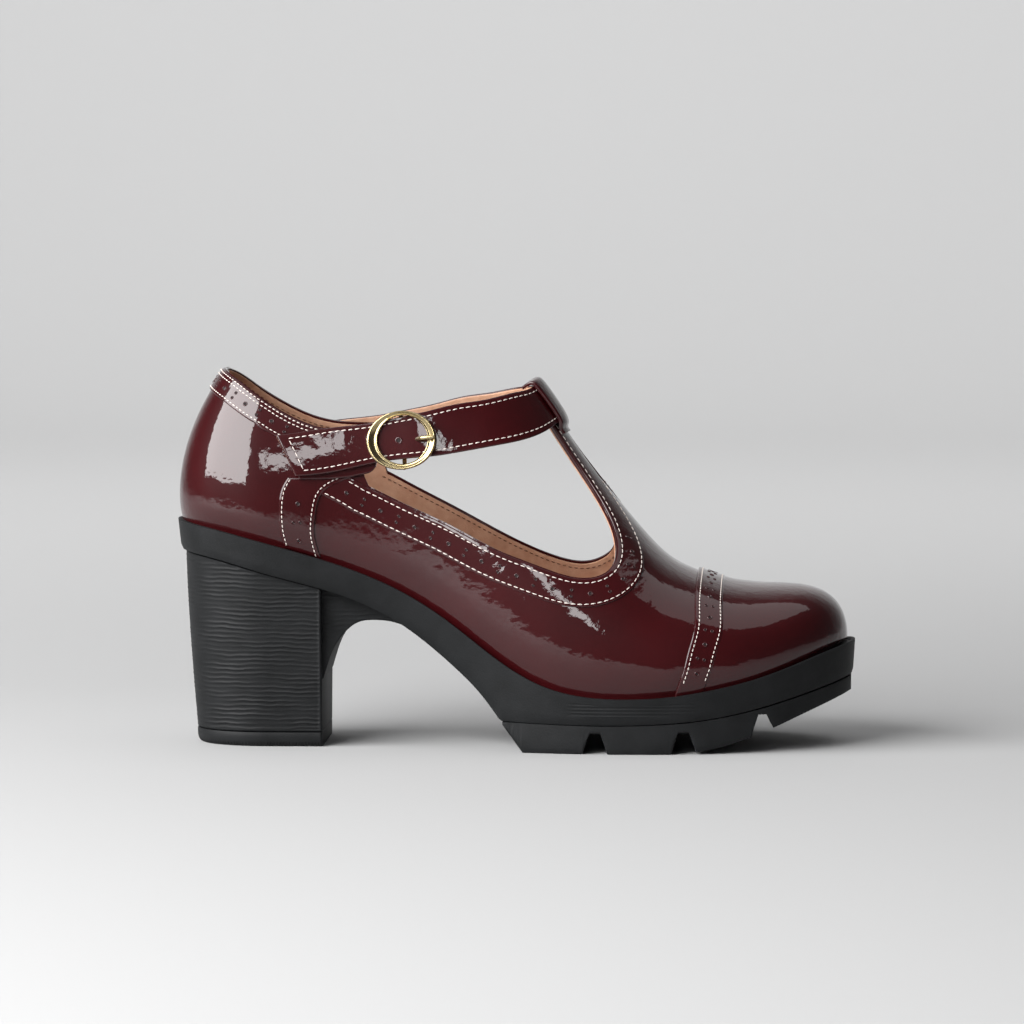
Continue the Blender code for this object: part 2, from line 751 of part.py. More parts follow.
def make_heel():
    """Block heel with the gusset in front of it, and its rubber tip."""
    levels = (0.0, 0.25, 0.5, 0.78, 1.0)
    loops = []
    shares = [0.05, 0.13, 0.24, 0.36, 0.5, 0.64, 0.78, 0.9, 1.0]
    front = [1 + k for k in (0.35, 0.7, 1.0)]
    for share in shares + front:
        left, right = [], []
        for height in levels:
            taper = HEEL_TAPER * (1 - height) ** 1.4
            x, width = heel_outline(min(share, 1.0), HEEL_SET_IN, taper)
            if share > 1:
                x = HEEL_CENTRE + (HEEL_FRONT - HEEL_CENTRE) * (share - 1)
                width -= 0.0006 * (share - 1)
            top = underside(x) - GAP
            z = LIFT_HEIGHT + GAP + (top - LIFT_HEIGHT - GAP) * height
            left.append((x, -width, z))
            right.append((x, width, z))
        loops.append(left + right[::-1])
    width = -loops[-1][0][1]
    gusset_end = GUSSET_END * LENGTH
    first = BREAST_ROWS[0][0] * LENGTH
    for x in np.linspace(max(first, HEEL_FRONT + 0.0004), gusset_end, 12):
        bottom = SEAT_HEIGHT * float(spline(BREAST_ROWS, 1, x / LENGTH))
        top = max(underside(float(x)) - GAP, bottom + 0.0004)
        half = min(width + 0.0022, waist_half(x)) - GUSSET_SET_IN
        left = [(x, -half, bottom + (top - bottom) * height) for height in levels]
        loops.append(left + [(x, half, z) for _, _, z in left[::-1]])
    loft("heel_block", loops, RUBBER, smooth=30)

    lift = []
    for share in shares + front:
        side = []
        for height, inset in ((0.0, LIFT_CHAMFER), (0.3, 0.0004), (1.0, 0.0)):
            x, width = heel_outline(min(share, 1.0), HEEL_SET_IN, HEEL_TAPER + inset)
            if share > 1:
                x = HEEL_CENTRE + (HEEL_FRONT - HEEL_CENTRE) * (share - 1)
                width -= 0.0006 * (share - 1)
            side.append((x, width, LIFT_HEIGHT * height))
        lift.append([(x, -y, z) for x, y, z in side] + side[::-1])
    loft("top_lift", lift, RUBBER, smooth=30)


def waist_half(x):
    """Half width of the platform's lower edge at x, on its narrower side."""
    return float(rim_half_width(np.asarray(x), 1)) - WAIST_DRAFT


def make_insole():
    loops = []
    inset = FEATHER_SIDE + WALL + INSOLE_GAP
    back = FEATHER_BACK + WALL + INSOLE_GAP
    toe = FEATHER_TOE + WALL + INSOLE_TOE_GAP
    for u in np.concatenate([np.linspace(0.05, 1, 9), 1 + np.linspace(0, 1, 28)[1:-1], [1.985]]):
        loop = []
        for side in (-1, 1):
            x, y = plan(u, side, back, inset, toe)
            low = (float(x), float(y), float(rim(x)) + GAP)
            top = (float(x), float(y), float(rim(x)) + GAP + INSOLE_THICK)
            loop += [low, top] if side < 0 else [top, low]
        loops.append(loop)
    loft("insole", loops, LINING)


def make_toe_cap():
    """Cap over the toe, between two larger forms, with its strip as a step at its rear edge."""
    tip = upper_tip()
    low, high = SEAT_GAP, SEAT_GAP + OVERLAY
    across = np.concatenate([np.linspace(CAP_FOOT, 1, 13), np.linspace(1, CAP_FOOT, 13)[1:]])
    side = np.where(np.arange(25) < 13, -1.0, 1.0)
    rear = LENGTH * (CAP_START - CAP_LEAN * (1 - across) ** 2)
    strip = [0.0, CAP_STRIP_SHARE - 0.001, CAP_STRIP_SHARE + 0.001, 0.2]
    along = np.concatenate([strip, np.sin(np.linspace(0.2, 1, 10) * math.pi / 2)])
    reach = rear[None, :] + (tip - rear[None, :]) * along[:, None]
    u = np.minimum(u_at(reach, tip), 1.999)
    step = np.where(along < CAP_STRIP_SHARE, OVERLAY * 0.7, 0.0)
    inner = form(u, side[None, :], across[None, :], low)
    outer = np.stack([form(u[i], side, across, high + float(step[i])) for i in range(len(along))])
    for sheet in (inner, outer):
        sheet[..., 2] = np.maximum(sheet[..., 2], rim(sheet[..., 0]) + GAP)
    slab("toe_cap", inner, outer, LEATHER)


def make_quarter_strips():
    """The strip at each quarter's front edge and the one round the collar."""
    low, high = SEAT_GAP, SEAT_GAP + OVERLAY
    tip = upper_tip()
    heights = np.linspace(0.012, QUARTER_FRONT[-1][1] - 0.002, 9)
    edges = []
    for rows in (QUARTER_FRONT, QUARTER_REAR):
        places, shares = np.asarray(rows).T
        edges.append(LENGTH * np.interp(heights, shares, places))
    front, rear = edges
    for name, side in (("quarter_strip_outer", -1), ("quarter_strip_inner", 1)):
        columns = []
        for k in (0.0, 0.5, 1.0):
            u = u_at(rear * (1 - k) + front * k, tip)
            columns.append((u, np.array([float(v_at_level(a, side, h)) for a, h in zip(u, heights)])))
        u = np.stack([c[0] for c in columns])
        v = np.stack([c[1] for c in columns])
        slab(name, form(u, side, v, low), form(u, side, v, high), LEATHER)
    u_end = float(u_at(COLLAR_STRIP_END, tip))
    steps = np.linspace(-u_end, u_end, 31)
    u, side = np.abs(steps), np.where(steps < 0, -1.0, 1.0)
    grids = []
    for k in (0.0, 0.5, 1.0):
        line = np.empty(len(u))
        for i in range(len(u)):
            collar = COLLAR_OUTER if side[i] < 0 else COLLAR_INNER
            line[i] = collar_v(u[i], side[i], collar, COLLAR_STRIP_TOP + COLLAR_STRIP_DROP * k)
        grids.append(line)
    v = np.stack(grids)
    u, side = np.broadcast_to(u, v.shape), np.broadcast_to(side, v.shape)
    slab("collar_strip", form(u, side, v, low), form(u, side, v, high), LEATHER)


def collar_v(u, side, collar, below):
    """The v at which a profile lies a share `below` under the collar's edge."""
    low_x = collar[0][0]

    def over(p):
        place = np.maximum(p[..., 0] / LENGTH, low_x)
        return p[..., 2] - level(p[..., 0], spline(collar, 1, place) - below)

    return float(solve_v(np.asarray(u), np.asarray(side), over))


def strap_edge(rows, x, side):
    """u and v of one of the strap's edges at the places x."""
    x = np.asarray(x, float)
    share = np.minimum(spline(rows, 1, x / LENGTH), 0.99999)
    u = u_at(x, upper_tip())
    return u, v_at_level(u, side, share)


def strap_band(start_low, start_top, side, count, end=1.0):
    """Lower and upper edge of the strap on one side, from its end to a share of the way to the ridge."""
    run = np.sin(np.linspace(0, end, count) * math.pi / 2)
    low = strap_edge(STRAP_LOW, LENGTH * (start_low + (STRAP_LOW[-1][0] - start_low) * run), side)
    top = strap_edge(STRAP_TOP, LENGTH * (start_top + (STRAP_TOP[-1][0] - start_top) * run), side)
    return low, top


def strap_offset(u, side):
    """Height of the strap's underside over the last: on the outer side it rides over the buckle's tab."""
    place = plan(u, -1, 0, 0, 0)[0] / LENGTH
    lift = TAB_THICK + GAP if side < 0 else 0.0
    return SEAT_GAP + lift * (1 - ease((place - TAB_FADE_START) / TAB_FADE))


def band_points(low, top, side, across, lift):
    """Grid of points between two edges, rows along the band and columns across it."""
    k = np.asarray(across)[None, :]
    u = low[0][:, None] * (1 - k) + top[0][:, None] * k
    v = low[1][:, None] * (1 - k) + top[1][:, None] * k
    points = np.empty(u.shape + (3,))
    for i in range(u.shape[0]):
        for j in range(u.shape[1]):
            points[i, j] = form(u[i, j], side, v[i, j], float(lift(u[i, j], side)))
    return points


def make_ankle_strap():
    """Strap from its slanted free end on the outer quarter, over the front, to the inner quarter."""
    across = np.linspace(0, 1, 5)
    sheets = []
    for thick in (0.0, STRAP_THICK):
        outer = band_points(*strap_band(STRAP_LOW[0][0], STRAP_TOP[0][0], -1, 29), -1, across,
                            lambda u, side: strap_offset(u, side) + thick)
        inner = band_points(*strap_band(STRAP_INNER_END, STRAP_INNER_END - STRAP_LEAN, 1, 27), 1, across,
                            lambda u, side: strap_offset(u, side) + thick)
        sheets.append(np.concatenate([outer, inner[-2::-1]]))
    strap = slab("ankle_strap", sheets[0], sheets[1], LEATHER)
    frame = buckle_axes()
    ends = [frame(HOLE_PLACE - 0.0012, 0, -0.004), frame(HOLE_PLACE + 0.0012, 0, 0.002)]
    hole = wire("prong_hole", ends, HOLE_RADIUS)
    cut(strap, as_cutter(hole))


def edge_over_width(rows, y):
    """Distance from the back at which one of the strap's edges is y off the middle, near the front."""
    x = LENGTH * np.linspace(rows[-4][0], rows[-1][0], 30)
    u, v = strap_edge(rows, x, -1)
    off = [abs(form(float(a), -1, float(b), 0.0)[1]) for a, b in zip(u, v)]
    return float(np.interp(abs(y), off[::-1], x[::-1]))


def make_loop():
    """Leather loop: from the T-strap's face over the front of the ankle strap and round their tops."""
    tip = upper_tip()
    low, top = STRAP_LOW[-1][0] * LENGTH, STRAP_TOP[-1][0] * LENGTH
    middle = (low + top) / 2
    slope = (ridge(np.asarray(middle + 0.001), tip) - ridge(np.asarray(middle - 0.001), tip)) / 0.002
    stretch = math.hypot(1, float(slope))
    run = (low - top) * stretch
    over = SEAT_GAP + STRAP_THICK + GAP + 0.0001
    path = np.array([
        (run + 0.0050, SEAT_GAP),
        (run + 0.0026, SEAT_GAP),
        (run + 0.0008, over),
        (run * 0.5, over + 0.0002),
        (-0.0004, over),
        (-0.0010, over - 0.0006),
        (-0.0014, 0.0006),
        (-0.0014, -WALL),
    ])
    step = np.gradient(path, axis=0)
    normal = np.column_stack([step[:, 1], -step[:, 0]]) / np.hypot(step[:, 0], step[:, 1])[:, None]
    outside = path + LOOP_THICK * normal
    sheets = []
    for line in (path, outside):
        grid = []
        for along, lift in line:
            row = []
            for y in np.linspace(-1, 1, 9) * LOOP_HALF_WIDTH:
                side = -1.0 if y <= 0 else 1.0
                x = np.asarray(edge_over_width(STRAP_TOP, y) + along / stretch)
                u = u_at(x, tip)
                v = v_at_width(u, side, abs(float(y)) + 1e-6)
                row.append(form(u, side, v, float(lift)))
            grid.append(row)
        sheets.append(np.asarray(grid))
    slab("t_loop", sheets[0], sheets[1], LEATHER)


def buckle_axes():
    """Function that gives the point at (along the strap, up across it, out from its face)."""
    u = u_at(BUCKLE_X, upper_tip())
    shares = [float(spline(rows, 1, BUCKLE_X / LENGTH)) for rows in (STRAP_LOW, STRAP_TOP)]
    ends = [v_at_level(u, -1, share) for share in shares]
    thick = float(strap_offset(u, -1)) + STRAP_THICK
    origin = form(u, -1, sum(ends) / 2, thick)
    ahead = u_at(BUCKLE_X + 0.006, upper_tip())
    behind, before = (float(spline(STRAP_LOW, 1, BUCKLE_X / LENGTH + k)) for k in (-0.04, 0.04))
    rise = (before - behind) / 0.08
    next_v = v_at_level(ahead, -1, sum(shares) / 2 + rise * 0.006 / LENGTH)
    along = form(ahead, -1, next_v, thick) - origin
    out = form(u, -1, sum(ends) / 2, thick + 0.01) - origin
    along /= np.linalg.norm(along)
    out -= along * np.dot(out, along)
    out /= np.linalg.norm(out)
    up = np.cross(out, along)
    up *= np.sign(up[2])
    return lambda a, b, n: origin + along * a + up * b + out * n


def wire(name, points, radius, mat=None):
    """Round wire through the points, as a mesh with welded caps."""
    curve = bpy.data.curves.new(name, "CURVE")
    curve.dimensions = "3D"
    curve.bevel_depth = radius
    curve.bevel_resolution = 2
    curve.use_fill_caps = True
    line = curve.splines.new("POLY")
    line.points.add(len(points) - 1)
    for point, place in zip(line.points, points):
        point.co = (*place, 1)
    holder = bpy.data.objects.new(name + "_curve", curve)
    bpy.context.scene.collection.objects.link(holder)
    mesh = bpy.data.meshes.new_from_object(holder.evaluated_get(bpy.context.evaluated_depsgraph_get()))
    bpy.data.objects.remove(holder, do_unlink=True)
    bm = bmesh.new()
    bm.from_mesh(mesh)
    return mesh_object(name, finish_mesh(bm, name), mat)


def ring(name, point_at, count, sides, mat):
    """Closed ring: point_at(turn, roll) gives the surface for two angles."""
    bm = bmesh.new()
    turns = [2 * math.pi * i / count for i in range(count)]
    rolls = [2 * math.pi * j / sides for j in range(sides)]
    rows = [[bm.verts.new(point_at(turn, roll)) for roll in rolls] for turn in turns]
    for i in range(count):
        for j in range(sides):
            n, m = (i + 1) % count, (j + 1) % sides
            bm.faces.new((rows[i][j], rows[n][j], rows[n][m], rows[i][m]))
    return mesh_object(name, finish_mesh(bm, name), mat)


def sleeve(name, axes, centre, outer, inner, half_length, mat):
    """Short tube across the strap round the point `centre` (along, out)."""
    corners = ((outer, -half_length), (outer, half_length), (inner, half_length), (inner, -half_length))

    def point_at(turn, roll):
        radius, across = corners[round(roll / (math.pi / 2)) % 4]
        return axes(centre[0] + radius * math.cos(turn), across, centre[1] + radius * math.sin(turn))

    return ring(name, point_at, 20, 4, mat)


def make_buckle():
    """Oval frame with its centre bar, the prong on the bar and the tab round it."""
    axes = buckle_axes()
    half_long, half_tall = BUCKLE_LONG / 2, BUCKLE_TALL / 2
    bar_out = -(STRAP_THICK + GAP + EYE_RADIUS)

    def frame_point(turn, roll):
        outer = np.array([half_long * math.cos(turn), half_tall * math.sin(turn)])
        inner = np.array([(half_long - SIDE_BAR) * math.cos(turn), (half_tall - END_BAR) * math.sin(turn)])
        across = (outer + inner) / 2 + (outer - inner) / 2 * math.cos(roll)
        return axes(across[0], across[1], GAP + BUCKLE_WIRE * (1 + math.sin(roll)))

    frame = ring("buckle_frame", frame_point, 32, 8, BRASS)
    post = half_tall - END_BAR / 2
    inside = GAP + BUCKLE_WIRE
    corners = ((post, inside), (post, bar_out), (-post, bar_out), (-post, inside))
    bar = [axes(0, b, n) for b, n in corners]
    cut(frame, as_cutter(wire("centre_bar", bar, BAR_RADIUS)), "UNION")

    rest = GAP + 2 * BUCKLE_WIRE + GAP + PRONG_RADIUS
    start = -(STRAP_THICK + GAP + PRONG_RADIUS)
    path = [
        (BAR_RADIUS + 0.0009, bar_out + 0.0004),
        (0.0030, start),
        (HOLE_PLACE - 0.0012, start),
        (HOLE_PLACE + 0.0016, rest - 0.0012),
        (HOLE_PLACE + 0.0030, rest),
        (half_long - 0.0008, rest),
    ]
    prong = wire("buckle_prong", [axes(a, 0, n) for a, n in path], PRONG_RADIUS, BRASS)
    inner = BAR_RADIUS + GAP / 2
    hook_half = PRONG_RADIUS * 1.1
    hook = sleeve("prong_hook", axes, (0, bar_out), EYE_RADIUS, inner, hook_half, None)
    cut(prong, as_cutter(hook), "UNION")

    tab_end = (BUCKLE_X - BAR_RADIUS - 0.0003) / LENGTH
    across = np.linspace(0.06, 0.94, 4)
    sheets = []
    for thick in (0.0, TAB_THICK):
        x = np.linspace(TAB_START, tab_end, 8) * LENGTH
        low = strap_edge(STRAP_LOW, x + TAB_MARGIN, -1)
        top = strap_edge(STRAP_TOP, x - TAB_MARGIN, -1)
        sheets.append(band_points(low, top, -1, across, lambda u, side: SEAT_GAP + thick))
    tab = slab("buckle_tab", sheets[0], sheets[1], LEATHER)
    eye_half = half_tall - END_BAR - 0.0028
    eye = sleeve("tab_eye", axes, (0, bar_out), EYE_RADIUS, inner, eye_half, None)
    cut(tab, as_cutter(eye), "UNION")
    corners = ((-0.0030, -0.0030), (0.0045, -0.0030), (0.0045, 0.0030), (-0.0030, 0.0030))
    slot = []
    for b in (-hook_half - 0.0004, hook_half + 0.0004):
        slot.append([axes(a, b, bar_out + n) for a, n in corners])
    cut(tab, as_cutter(loft("prong_slot", slot, None)))


bpy.ops.object.select_all(action="DESELECT")
for old in list(bpy.data.objects):
    bpy.data.objects.remove(old, do_unlink=True)
PARTS = bpy.data.collections.new("t_strap_shoe")
CUTTERS = bpy.data.collections.new("cutters")
for collection in (PARTS, CUTTERS):
    bpy.context.scene.collection.children.link(collection)
SHOE = bpy.data.objects.new("shoe_origin", None)
PARTS.objects.link(SHOE)
SHOE.location = (-LENGTH / 2, 0, 0)

LEATHER = material("patent leather", (0.085, 0.006, 0.010), 0.12)
LINING = material("tan lining", (0.50, 0.27, 0.15), 0.70)
RUBBER = material("black rubber", (0.018, 0.020, 0.022), 0.55)
BRASS = material("old gold", (0.45, 0.33, 0.14), 0.30, 1.0)

make_upper()
make_sole()
make_heel()
make_insole()
make_toe_cap()
make_quarter_strips()
make_ankle_strap()
make_loop()
make_buckle()
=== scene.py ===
# %% [markdown]
# # A patent T-strap shoe
# A right shoe: oxblood patent leather over a tan lining, cream stitches and punched holes, an old-gold
# buckle, and a black rubber sole with a block heel. The CAD solids give every size. This script loads
# them as a fixed frame and dresses them: each piece is a surface worked out with numpy on the same last
# that the solids were cut from, so that it lands where the solid is.

import math

import bmesh
import bpy
import numpy as np
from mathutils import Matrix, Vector


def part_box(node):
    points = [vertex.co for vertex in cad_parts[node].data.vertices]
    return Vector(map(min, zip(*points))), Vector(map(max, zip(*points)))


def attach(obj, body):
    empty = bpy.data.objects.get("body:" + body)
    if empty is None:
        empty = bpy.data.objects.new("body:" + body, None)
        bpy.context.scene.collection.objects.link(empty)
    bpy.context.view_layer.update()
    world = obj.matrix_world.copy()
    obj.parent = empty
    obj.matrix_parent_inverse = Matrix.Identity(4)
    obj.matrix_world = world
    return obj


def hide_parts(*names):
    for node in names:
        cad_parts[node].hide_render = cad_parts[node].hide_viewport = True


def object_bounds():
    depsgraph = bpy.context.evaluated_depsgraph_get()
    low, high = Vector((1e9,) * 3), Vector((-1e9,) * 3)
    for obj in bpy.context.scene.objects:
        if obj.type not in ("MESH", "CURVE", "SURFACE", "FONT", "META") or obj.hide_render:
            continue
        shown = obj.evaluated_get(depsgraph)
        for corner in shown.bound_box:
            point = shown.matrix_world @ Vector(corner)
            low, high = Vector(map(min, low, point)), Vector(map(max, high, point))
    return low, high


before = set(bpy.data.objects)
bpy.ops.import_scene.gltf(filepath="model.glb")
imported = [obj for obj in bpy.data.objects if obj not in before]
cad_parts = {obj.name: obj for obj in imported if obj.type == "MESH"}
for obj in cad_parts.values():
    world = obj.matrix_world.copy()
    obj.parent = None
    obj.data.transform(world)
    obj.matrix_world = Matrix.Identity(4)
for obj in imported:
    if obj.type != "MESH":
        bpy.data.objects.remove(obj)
cad_low, cad_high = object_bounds()
LENGTH = cad_high.x - cad_low.x
BACK = cad_low.x
print(f"shoe {LENGTH * 1000:.1f} mm long, from x = {BACK * 1000:.1f} mm")

# %% [markdown]
# ## Tables and curves
# A shoemaker draws a last by its sections. Here each line of the shoe is a short table of places along
# the length and a share of some driving size, and a smooth curve runs through the rows. A natural cubic
# spline was chosen because it passes through every row and has no corners.

# %% A smooth curve through a table
BALL_WIDTH = 0.0912
HEEL_CENTRE = 0.0335
SEAT_HEIGHT = 0.0813
PLATFORM_HEIGHT = 0.0200
TOE_LIFT = 0.0180
INSTEP_HEIGHT = 0.1035
MM = 0.001


def spline(rows, column, at):
    """Natural cubic spline: between two rows, a line plus a bend that makes slope and curvature meet."""
    table = np.asarray(rows, float)
    x, y = table[:, 0], table[:, column]
    step, rise = np.diff(x), np.diff(y)
    matrix, right = np.eye(len(x)), np.zeros(len(x))
    k = np.arange(1, len(x) - 1)
    matrix[k, k - 1], matrix[k, k], matrix[k, k + 1] = step[:-1], 2 * (step[:-1] + step[1:]), step[1:]
    right[k] = 6 * (rise[1:] / step[1:] - rise[:-1] / step[:-1])
    bend = np.linalg.solve(matrix, right)
    at = np.asarray(at, float)
    i = np.clip(np.searchsorted(x, at) - 1, 0, len(x) - 2)
    a = (x[i + 1] - at) / step[i]
    b = 1 - a
    return a * y[i] + b * y[i + 1] + ((a ** 3 - a) * bend[i] + (b ** 3 - b) * bend[i + 1]) * step[i] ** 2 / 6


def ease(t):
    """Smooth step: 3t^2 - 2t^3 between 0 and 1."""
    t = np.clip(t, 0, 1)
    return t * t * (3 - 2 * t)


# %% The rim of the sole, from the side and from above
RIM_ROWS = (  # place, climb to the heel, lift to the toe
    (0.000, 1.000, 0.000), (0.060, 0.960, 0.000), (0.138, 0.884, 0.000), (0.228, 0.780, 0.000),
    (0.337, 0.606, 0.000), (0.406, 0.440, 0.000), (0.495, 0.181, 0.000), (0.550, 0.068, 0.000),
    (0.600, 0.017, 0.000), (0.680, 0.000, 0.000), (0.740, 0.000, 0.055), (0.791, 0.000, 0.165),
    (0.852, 0.000, 0.350), (0.913, 0.000, 0.620), (0.954, 0.000, 0.820), (1.000, 0.000, 1.000),
)
PLAN_ROWS = (  # place, outer and inner half width as shares of the ball's width
    (0.080, 0.340, 0.340), (0.136, 0.341, 0.341), (0.190, 0.336, 0.334), (0.250, 0.326, 0.316),
    (0.340, 0.334, 0.302), (0.440, 0.396, 0.345), (0.540, 0.465, 0.430), (0.620, 0.496, 0.488),
    (0.680, 0.501, 0.503), (1.000, 0.500, 0.500),
)
HEEL_POWER, TOE_POWER, TOE_ROUND = 2.2, 2.45, 2.05
BALL_PLACE = 0.655
TOE_SWING = 0.0030


def rim(x):
    """Height of the rim: platform, plus its climb to the seat, plus its lift to the toe."""
    climb, lift = spline(RIM_ROWS, 1, x / LENGTH), spline(RIM_ROWS, 2, x / LENGTH)
    return PLATFORM_HEIGHT + (SEAT_HEIGHT - PLATFORM_HEIGHT) * climb + TOE_LIFT * lift


def nose(x, tip):
    """1 behind the ball, then (1 - t^p)^(1/q) down to 0 at the tip."""
    start = BALL_PLACE * LENGTH
    return (1 - np.clip((x - start) / (tip - start), 0, 1) ** TOE_POWER) ** (1 / TOE_ROUND)


def swing(x):
    """The middle line bends to the inner side towards the toe."""
    return TOE_SWING * ease((x / LENGTH - BALL_PLACE) / (1 - BALL_PLACE)) ** 1.5


def half_width(x, side):
    """Half the sole's width on one side."""
    share = np.where(side < 0, spline(PLAN_ROWS, 1, x / LENGTH), spline(PLAN_ROWS, 2, x / LENGTH))
    return BALL_WIDTH * share


def plan(u, side, back, flank, toe):
    """Rim outline set in by three amounts: a superellipse round the heel, then (u 1 to 2) the table."""
    turn = np.clip(u, 0, 1) * math.pi / 2
    tip = LENGTH - toe
    ahead = np.sin(np.clip(u - 1, 0, 1) * math.pi / 2)
    behind = HEEL_CENTRE - (HEEL_CENTRE - back) * np.cos(turn) ** (2 / HEEL_POWER)
    x = np.where(u < 1, behind, HEEL_CENTRE + (tip - HEEL_CENTRE) * ahead)
    reach = np.maximum(x, HEEL_CENTRE)
    width = (half_width(reach, side) - flank) * nose(reach, tip)
    return x, swing(x) + side * width * np.where(u < 1, np.sin(turn) ** (2 / HEEL_POWER), 1.0)


def u_at(x, tip):
    """The u at which an outline that ends at tip reaches x."""
    return 1 + np.arcsin(np.clip((x - HEEL_CENTRE) / (tip - HEEL_CENTRE), 0, 1)) / (math.pi / 2)


print(f"rim {rim(0.0) * 1000:.1f} mm high at the heel, {rim(0.68 * LENGTH) * 1000:.1f} mm at the ball")

# %% [markdown]
# ## The last
# The last is the foot-shaped form that leather is pulled over. A section swells a little from its foot
# to its widest point, and from there it is a quarter of an ellipse that draws in towards the ridge. As
# u runs from heel to toe and v from foot to ridge, the last becomes one function of two numbers, and
# every leather piece is a part of it, moved out or in along its normal.

# %% The last as a function of u, side and v
RIDGE_ROWS = (  # place, height over the platform as a share of the instep's
    (0.080, 1.256), (0.136, 1.256), (0.190, 1.270), (0.250, 1.320), (0.350, 1.375), (0.450, 1.265),
    (0.544, 1.000), (0.585, 0.856), (0.634, 0.706), (0.682, 0.570), (0.727, 0.462), (0.768, 0.412),
    (0.812, 0.376), (0.860, 0.361), (0.930, 0.357), (1.000, 0.352),
)
PINCH_ROWS = (  # place, how far a section draws in above its widest point
    (0.080, 0.19), (0.136, 0.19), (0.190, 0.15), (0.260, 0.04), (0.350, -0.03), (0.430, 0.08),
    (0.520, 0.22), (0.590, 0.25), (0.660, 0.12), (0.740, -0.05), (0.850, -0.12), (1.000, -0.15),
)
FEATHER_SIDE, FEATHER_BACK, FEATHER_TOE = 0.0030, 0.0015, 0.0053
TUCK, TUCK_END, BACK_PINCH, GAP = 0.0020, 0.2, 0.40, 0.0003
TUCK_BACK, TUCK_TOE = 0.5 * TUCK, 0.8 * TUCK
WIDEST_BACK, WIDEST_RISE, WIDEST_START, WIDEST_RUN = 0.125, 0.075, 0.5, 0.3
CROWN_POWER, CROWN_ROUND, CROWN_PLACE, TIP_RISE = 5.0, 2.3, 0.835, 0.0010
TIP = LENGTH - FEATHER_TOE + TUCK_TOE
U_END, SMALL = 1.9995, 1e-4


def ridge(x):
    """Top of the last: the table's crown line, rounded down to the toe's tip by (1 - t^5)^(1/2.3)."""
    crown = PLATFORM_HEIGHT + INSTEP_HEIGHT * spline(RIDGE_ROWS, 1, x / LENGTH)
    start = CROWN_PLACE * LENGTH
    fall = (1 - np.clip((x - start) / (TIP - start), 0, 1) ** CROWN_POWER) ** (1 / CROWN_ROUND)
    low = rim(np.asarray(TIP)) + TIP_RISE
    return low + (crown - low) * fall


def level(x, share):
    """Height at a share of the way from the rim up to the last's top."""
    return rim(x) + share * (ridge(x) - rim(x))


def bare_last(u, side, v):
    """Point of the last: width = w cos(r) (1 - pinch sin^2 r) - tuck, height = foot + rise sin(r)."""
    ahead = np.sin(np.clip(u - 1, 0, 1) * math.pi / 2)
    turn = np.clip(u, 0, 1) * math.pi / 2
    round_x, round_y = np.cos(turn) ** (2 / HEEL_POWER), np.sin(turn) ** (2 / HEEL_POWER)
    behind = u < 1
    foot_back = HEEL_CENTRE - FEATHER_BACK
    station = np.where(behind, HEEL_CENTRE - foot_back * round_x, HEEL_CENTRE + (TIP - HEEL_CENTRE) * ahead)
    reach = np.maximum(station, HEEL_CENTRE)
    toe = nose(reach, TIP)
    foot, top = rim(station) + GAP, ridge(reach)
    widest = WIDEST_BACK + WIDEST_RISE * ease((station / LENGTH - WIDEST_START) / WIDEST_RUN)
    wide_z = foot + widest * (top - foot)
    low = np.clip(v / TUCK_END, 0, 1)
    tuck = (1 - low) ** 2
    rise = np.clip((v - TUCK_END) / (1 - TUCK_END), 0, 1) * math.pi / 2
    climb = np.sin(rise) ** 2
    drawn = np.cos(rise) * (1 - spline(PINCH_ROWS, 1, reach / LENGTH) * climb)
    width = (half_width(reach, side) - FEATHER_SIDE + TUCK) * toe * drawn - TUCK * toe * tuck
    back = (foot_back + TUCK_BACK) * np.cos(rise) * (1 - BACK_PINCH * climb) - TUCK_BACK * tuck
    x = np.where(behind, HEEL_CENTRE - back * round_x, station - TUCK_TOE * (1 - toe) * tuck)
    y = swing(station) + side * width * np.where(behind, round_y, 1.0)
    z = np.where(low < 1, foot + (wide_z - foot) * low, wide_z + (top - wide_z) * np.sin(rise))
    return np.stack([x, y, z], -1)


def unit(a):
    """Vectors scaled to a length of 1."""
    return a / np.maximum(np.linalg.norm(a, axis=-1, keepdims=True), 1e-12)


def last(u, side, v, offset=0.0):
    """Point of the last moved by offset along its normal, the cross product of its two slopes."""
    u, side, v = np.broadcast_arrays(*(np.asarray(a, float) for a in (u, side, v)))
    return bare_last(u, side, v) + np.asarray(offset)[..., None] * last_normal(u, side, v)


def slopes(u, side, v):
    """Change of the last's point over one small step back and forth along u, and the same along v."""
    along = bare_last(u + SMALL, side, v) - bare_last(u - SMALL, side, v)
    return along, bare_last(u, side, v + SMALL) - bare_last(u, side, v - SMALL)


def last_normal(u, side, v):
    """Outward normal of the last."""
    along, across = slopes(np.clip(u, SMALL, 2 - 20 * SMALL), side, np.clip(v, SMALL, 1 - SMALL))
    return unit(np.cross(along, across) * -np.asarray(side)[..., None])


def solve_v(u, side, above):
    """The v at which above(point) turns from below 0 to over 0, by halving the range 40 times."""
    low, high = np.zeros(np.shape(u)), np.ones(np.shape(u))
    for _ in range(40):
        middle = (low + high) / 2
        over = above(bare_last(u, side, middle)) > 0
        high, low = np.where(over, middle, high), np.where(over, low, middle)
    return (low + high) / 2


def v_at(u, side, share):
    """The v at which the last is at a share of the height from the rim to its top."""
    return solve_v(u, side, lambda p: p[..., 2] - level(p[..., 0], share))


ball = bare_last(u_at(0.62 * LENGTH, TIP), -1.0, TUCK_END)
print("widest point of the last at the ball:", np.round(ball * 1000, 1))

# %% [markdown]
# ## From grids to meshes
# Blender stores a mesh as long arrays, and foreach_set fills them at once. Two helpers are enough for
# nearly every piece: one lays a skin over a grid of points, and one closes a top and a bottom grid into
# a thin solid, which is what a cut piece of leather is.

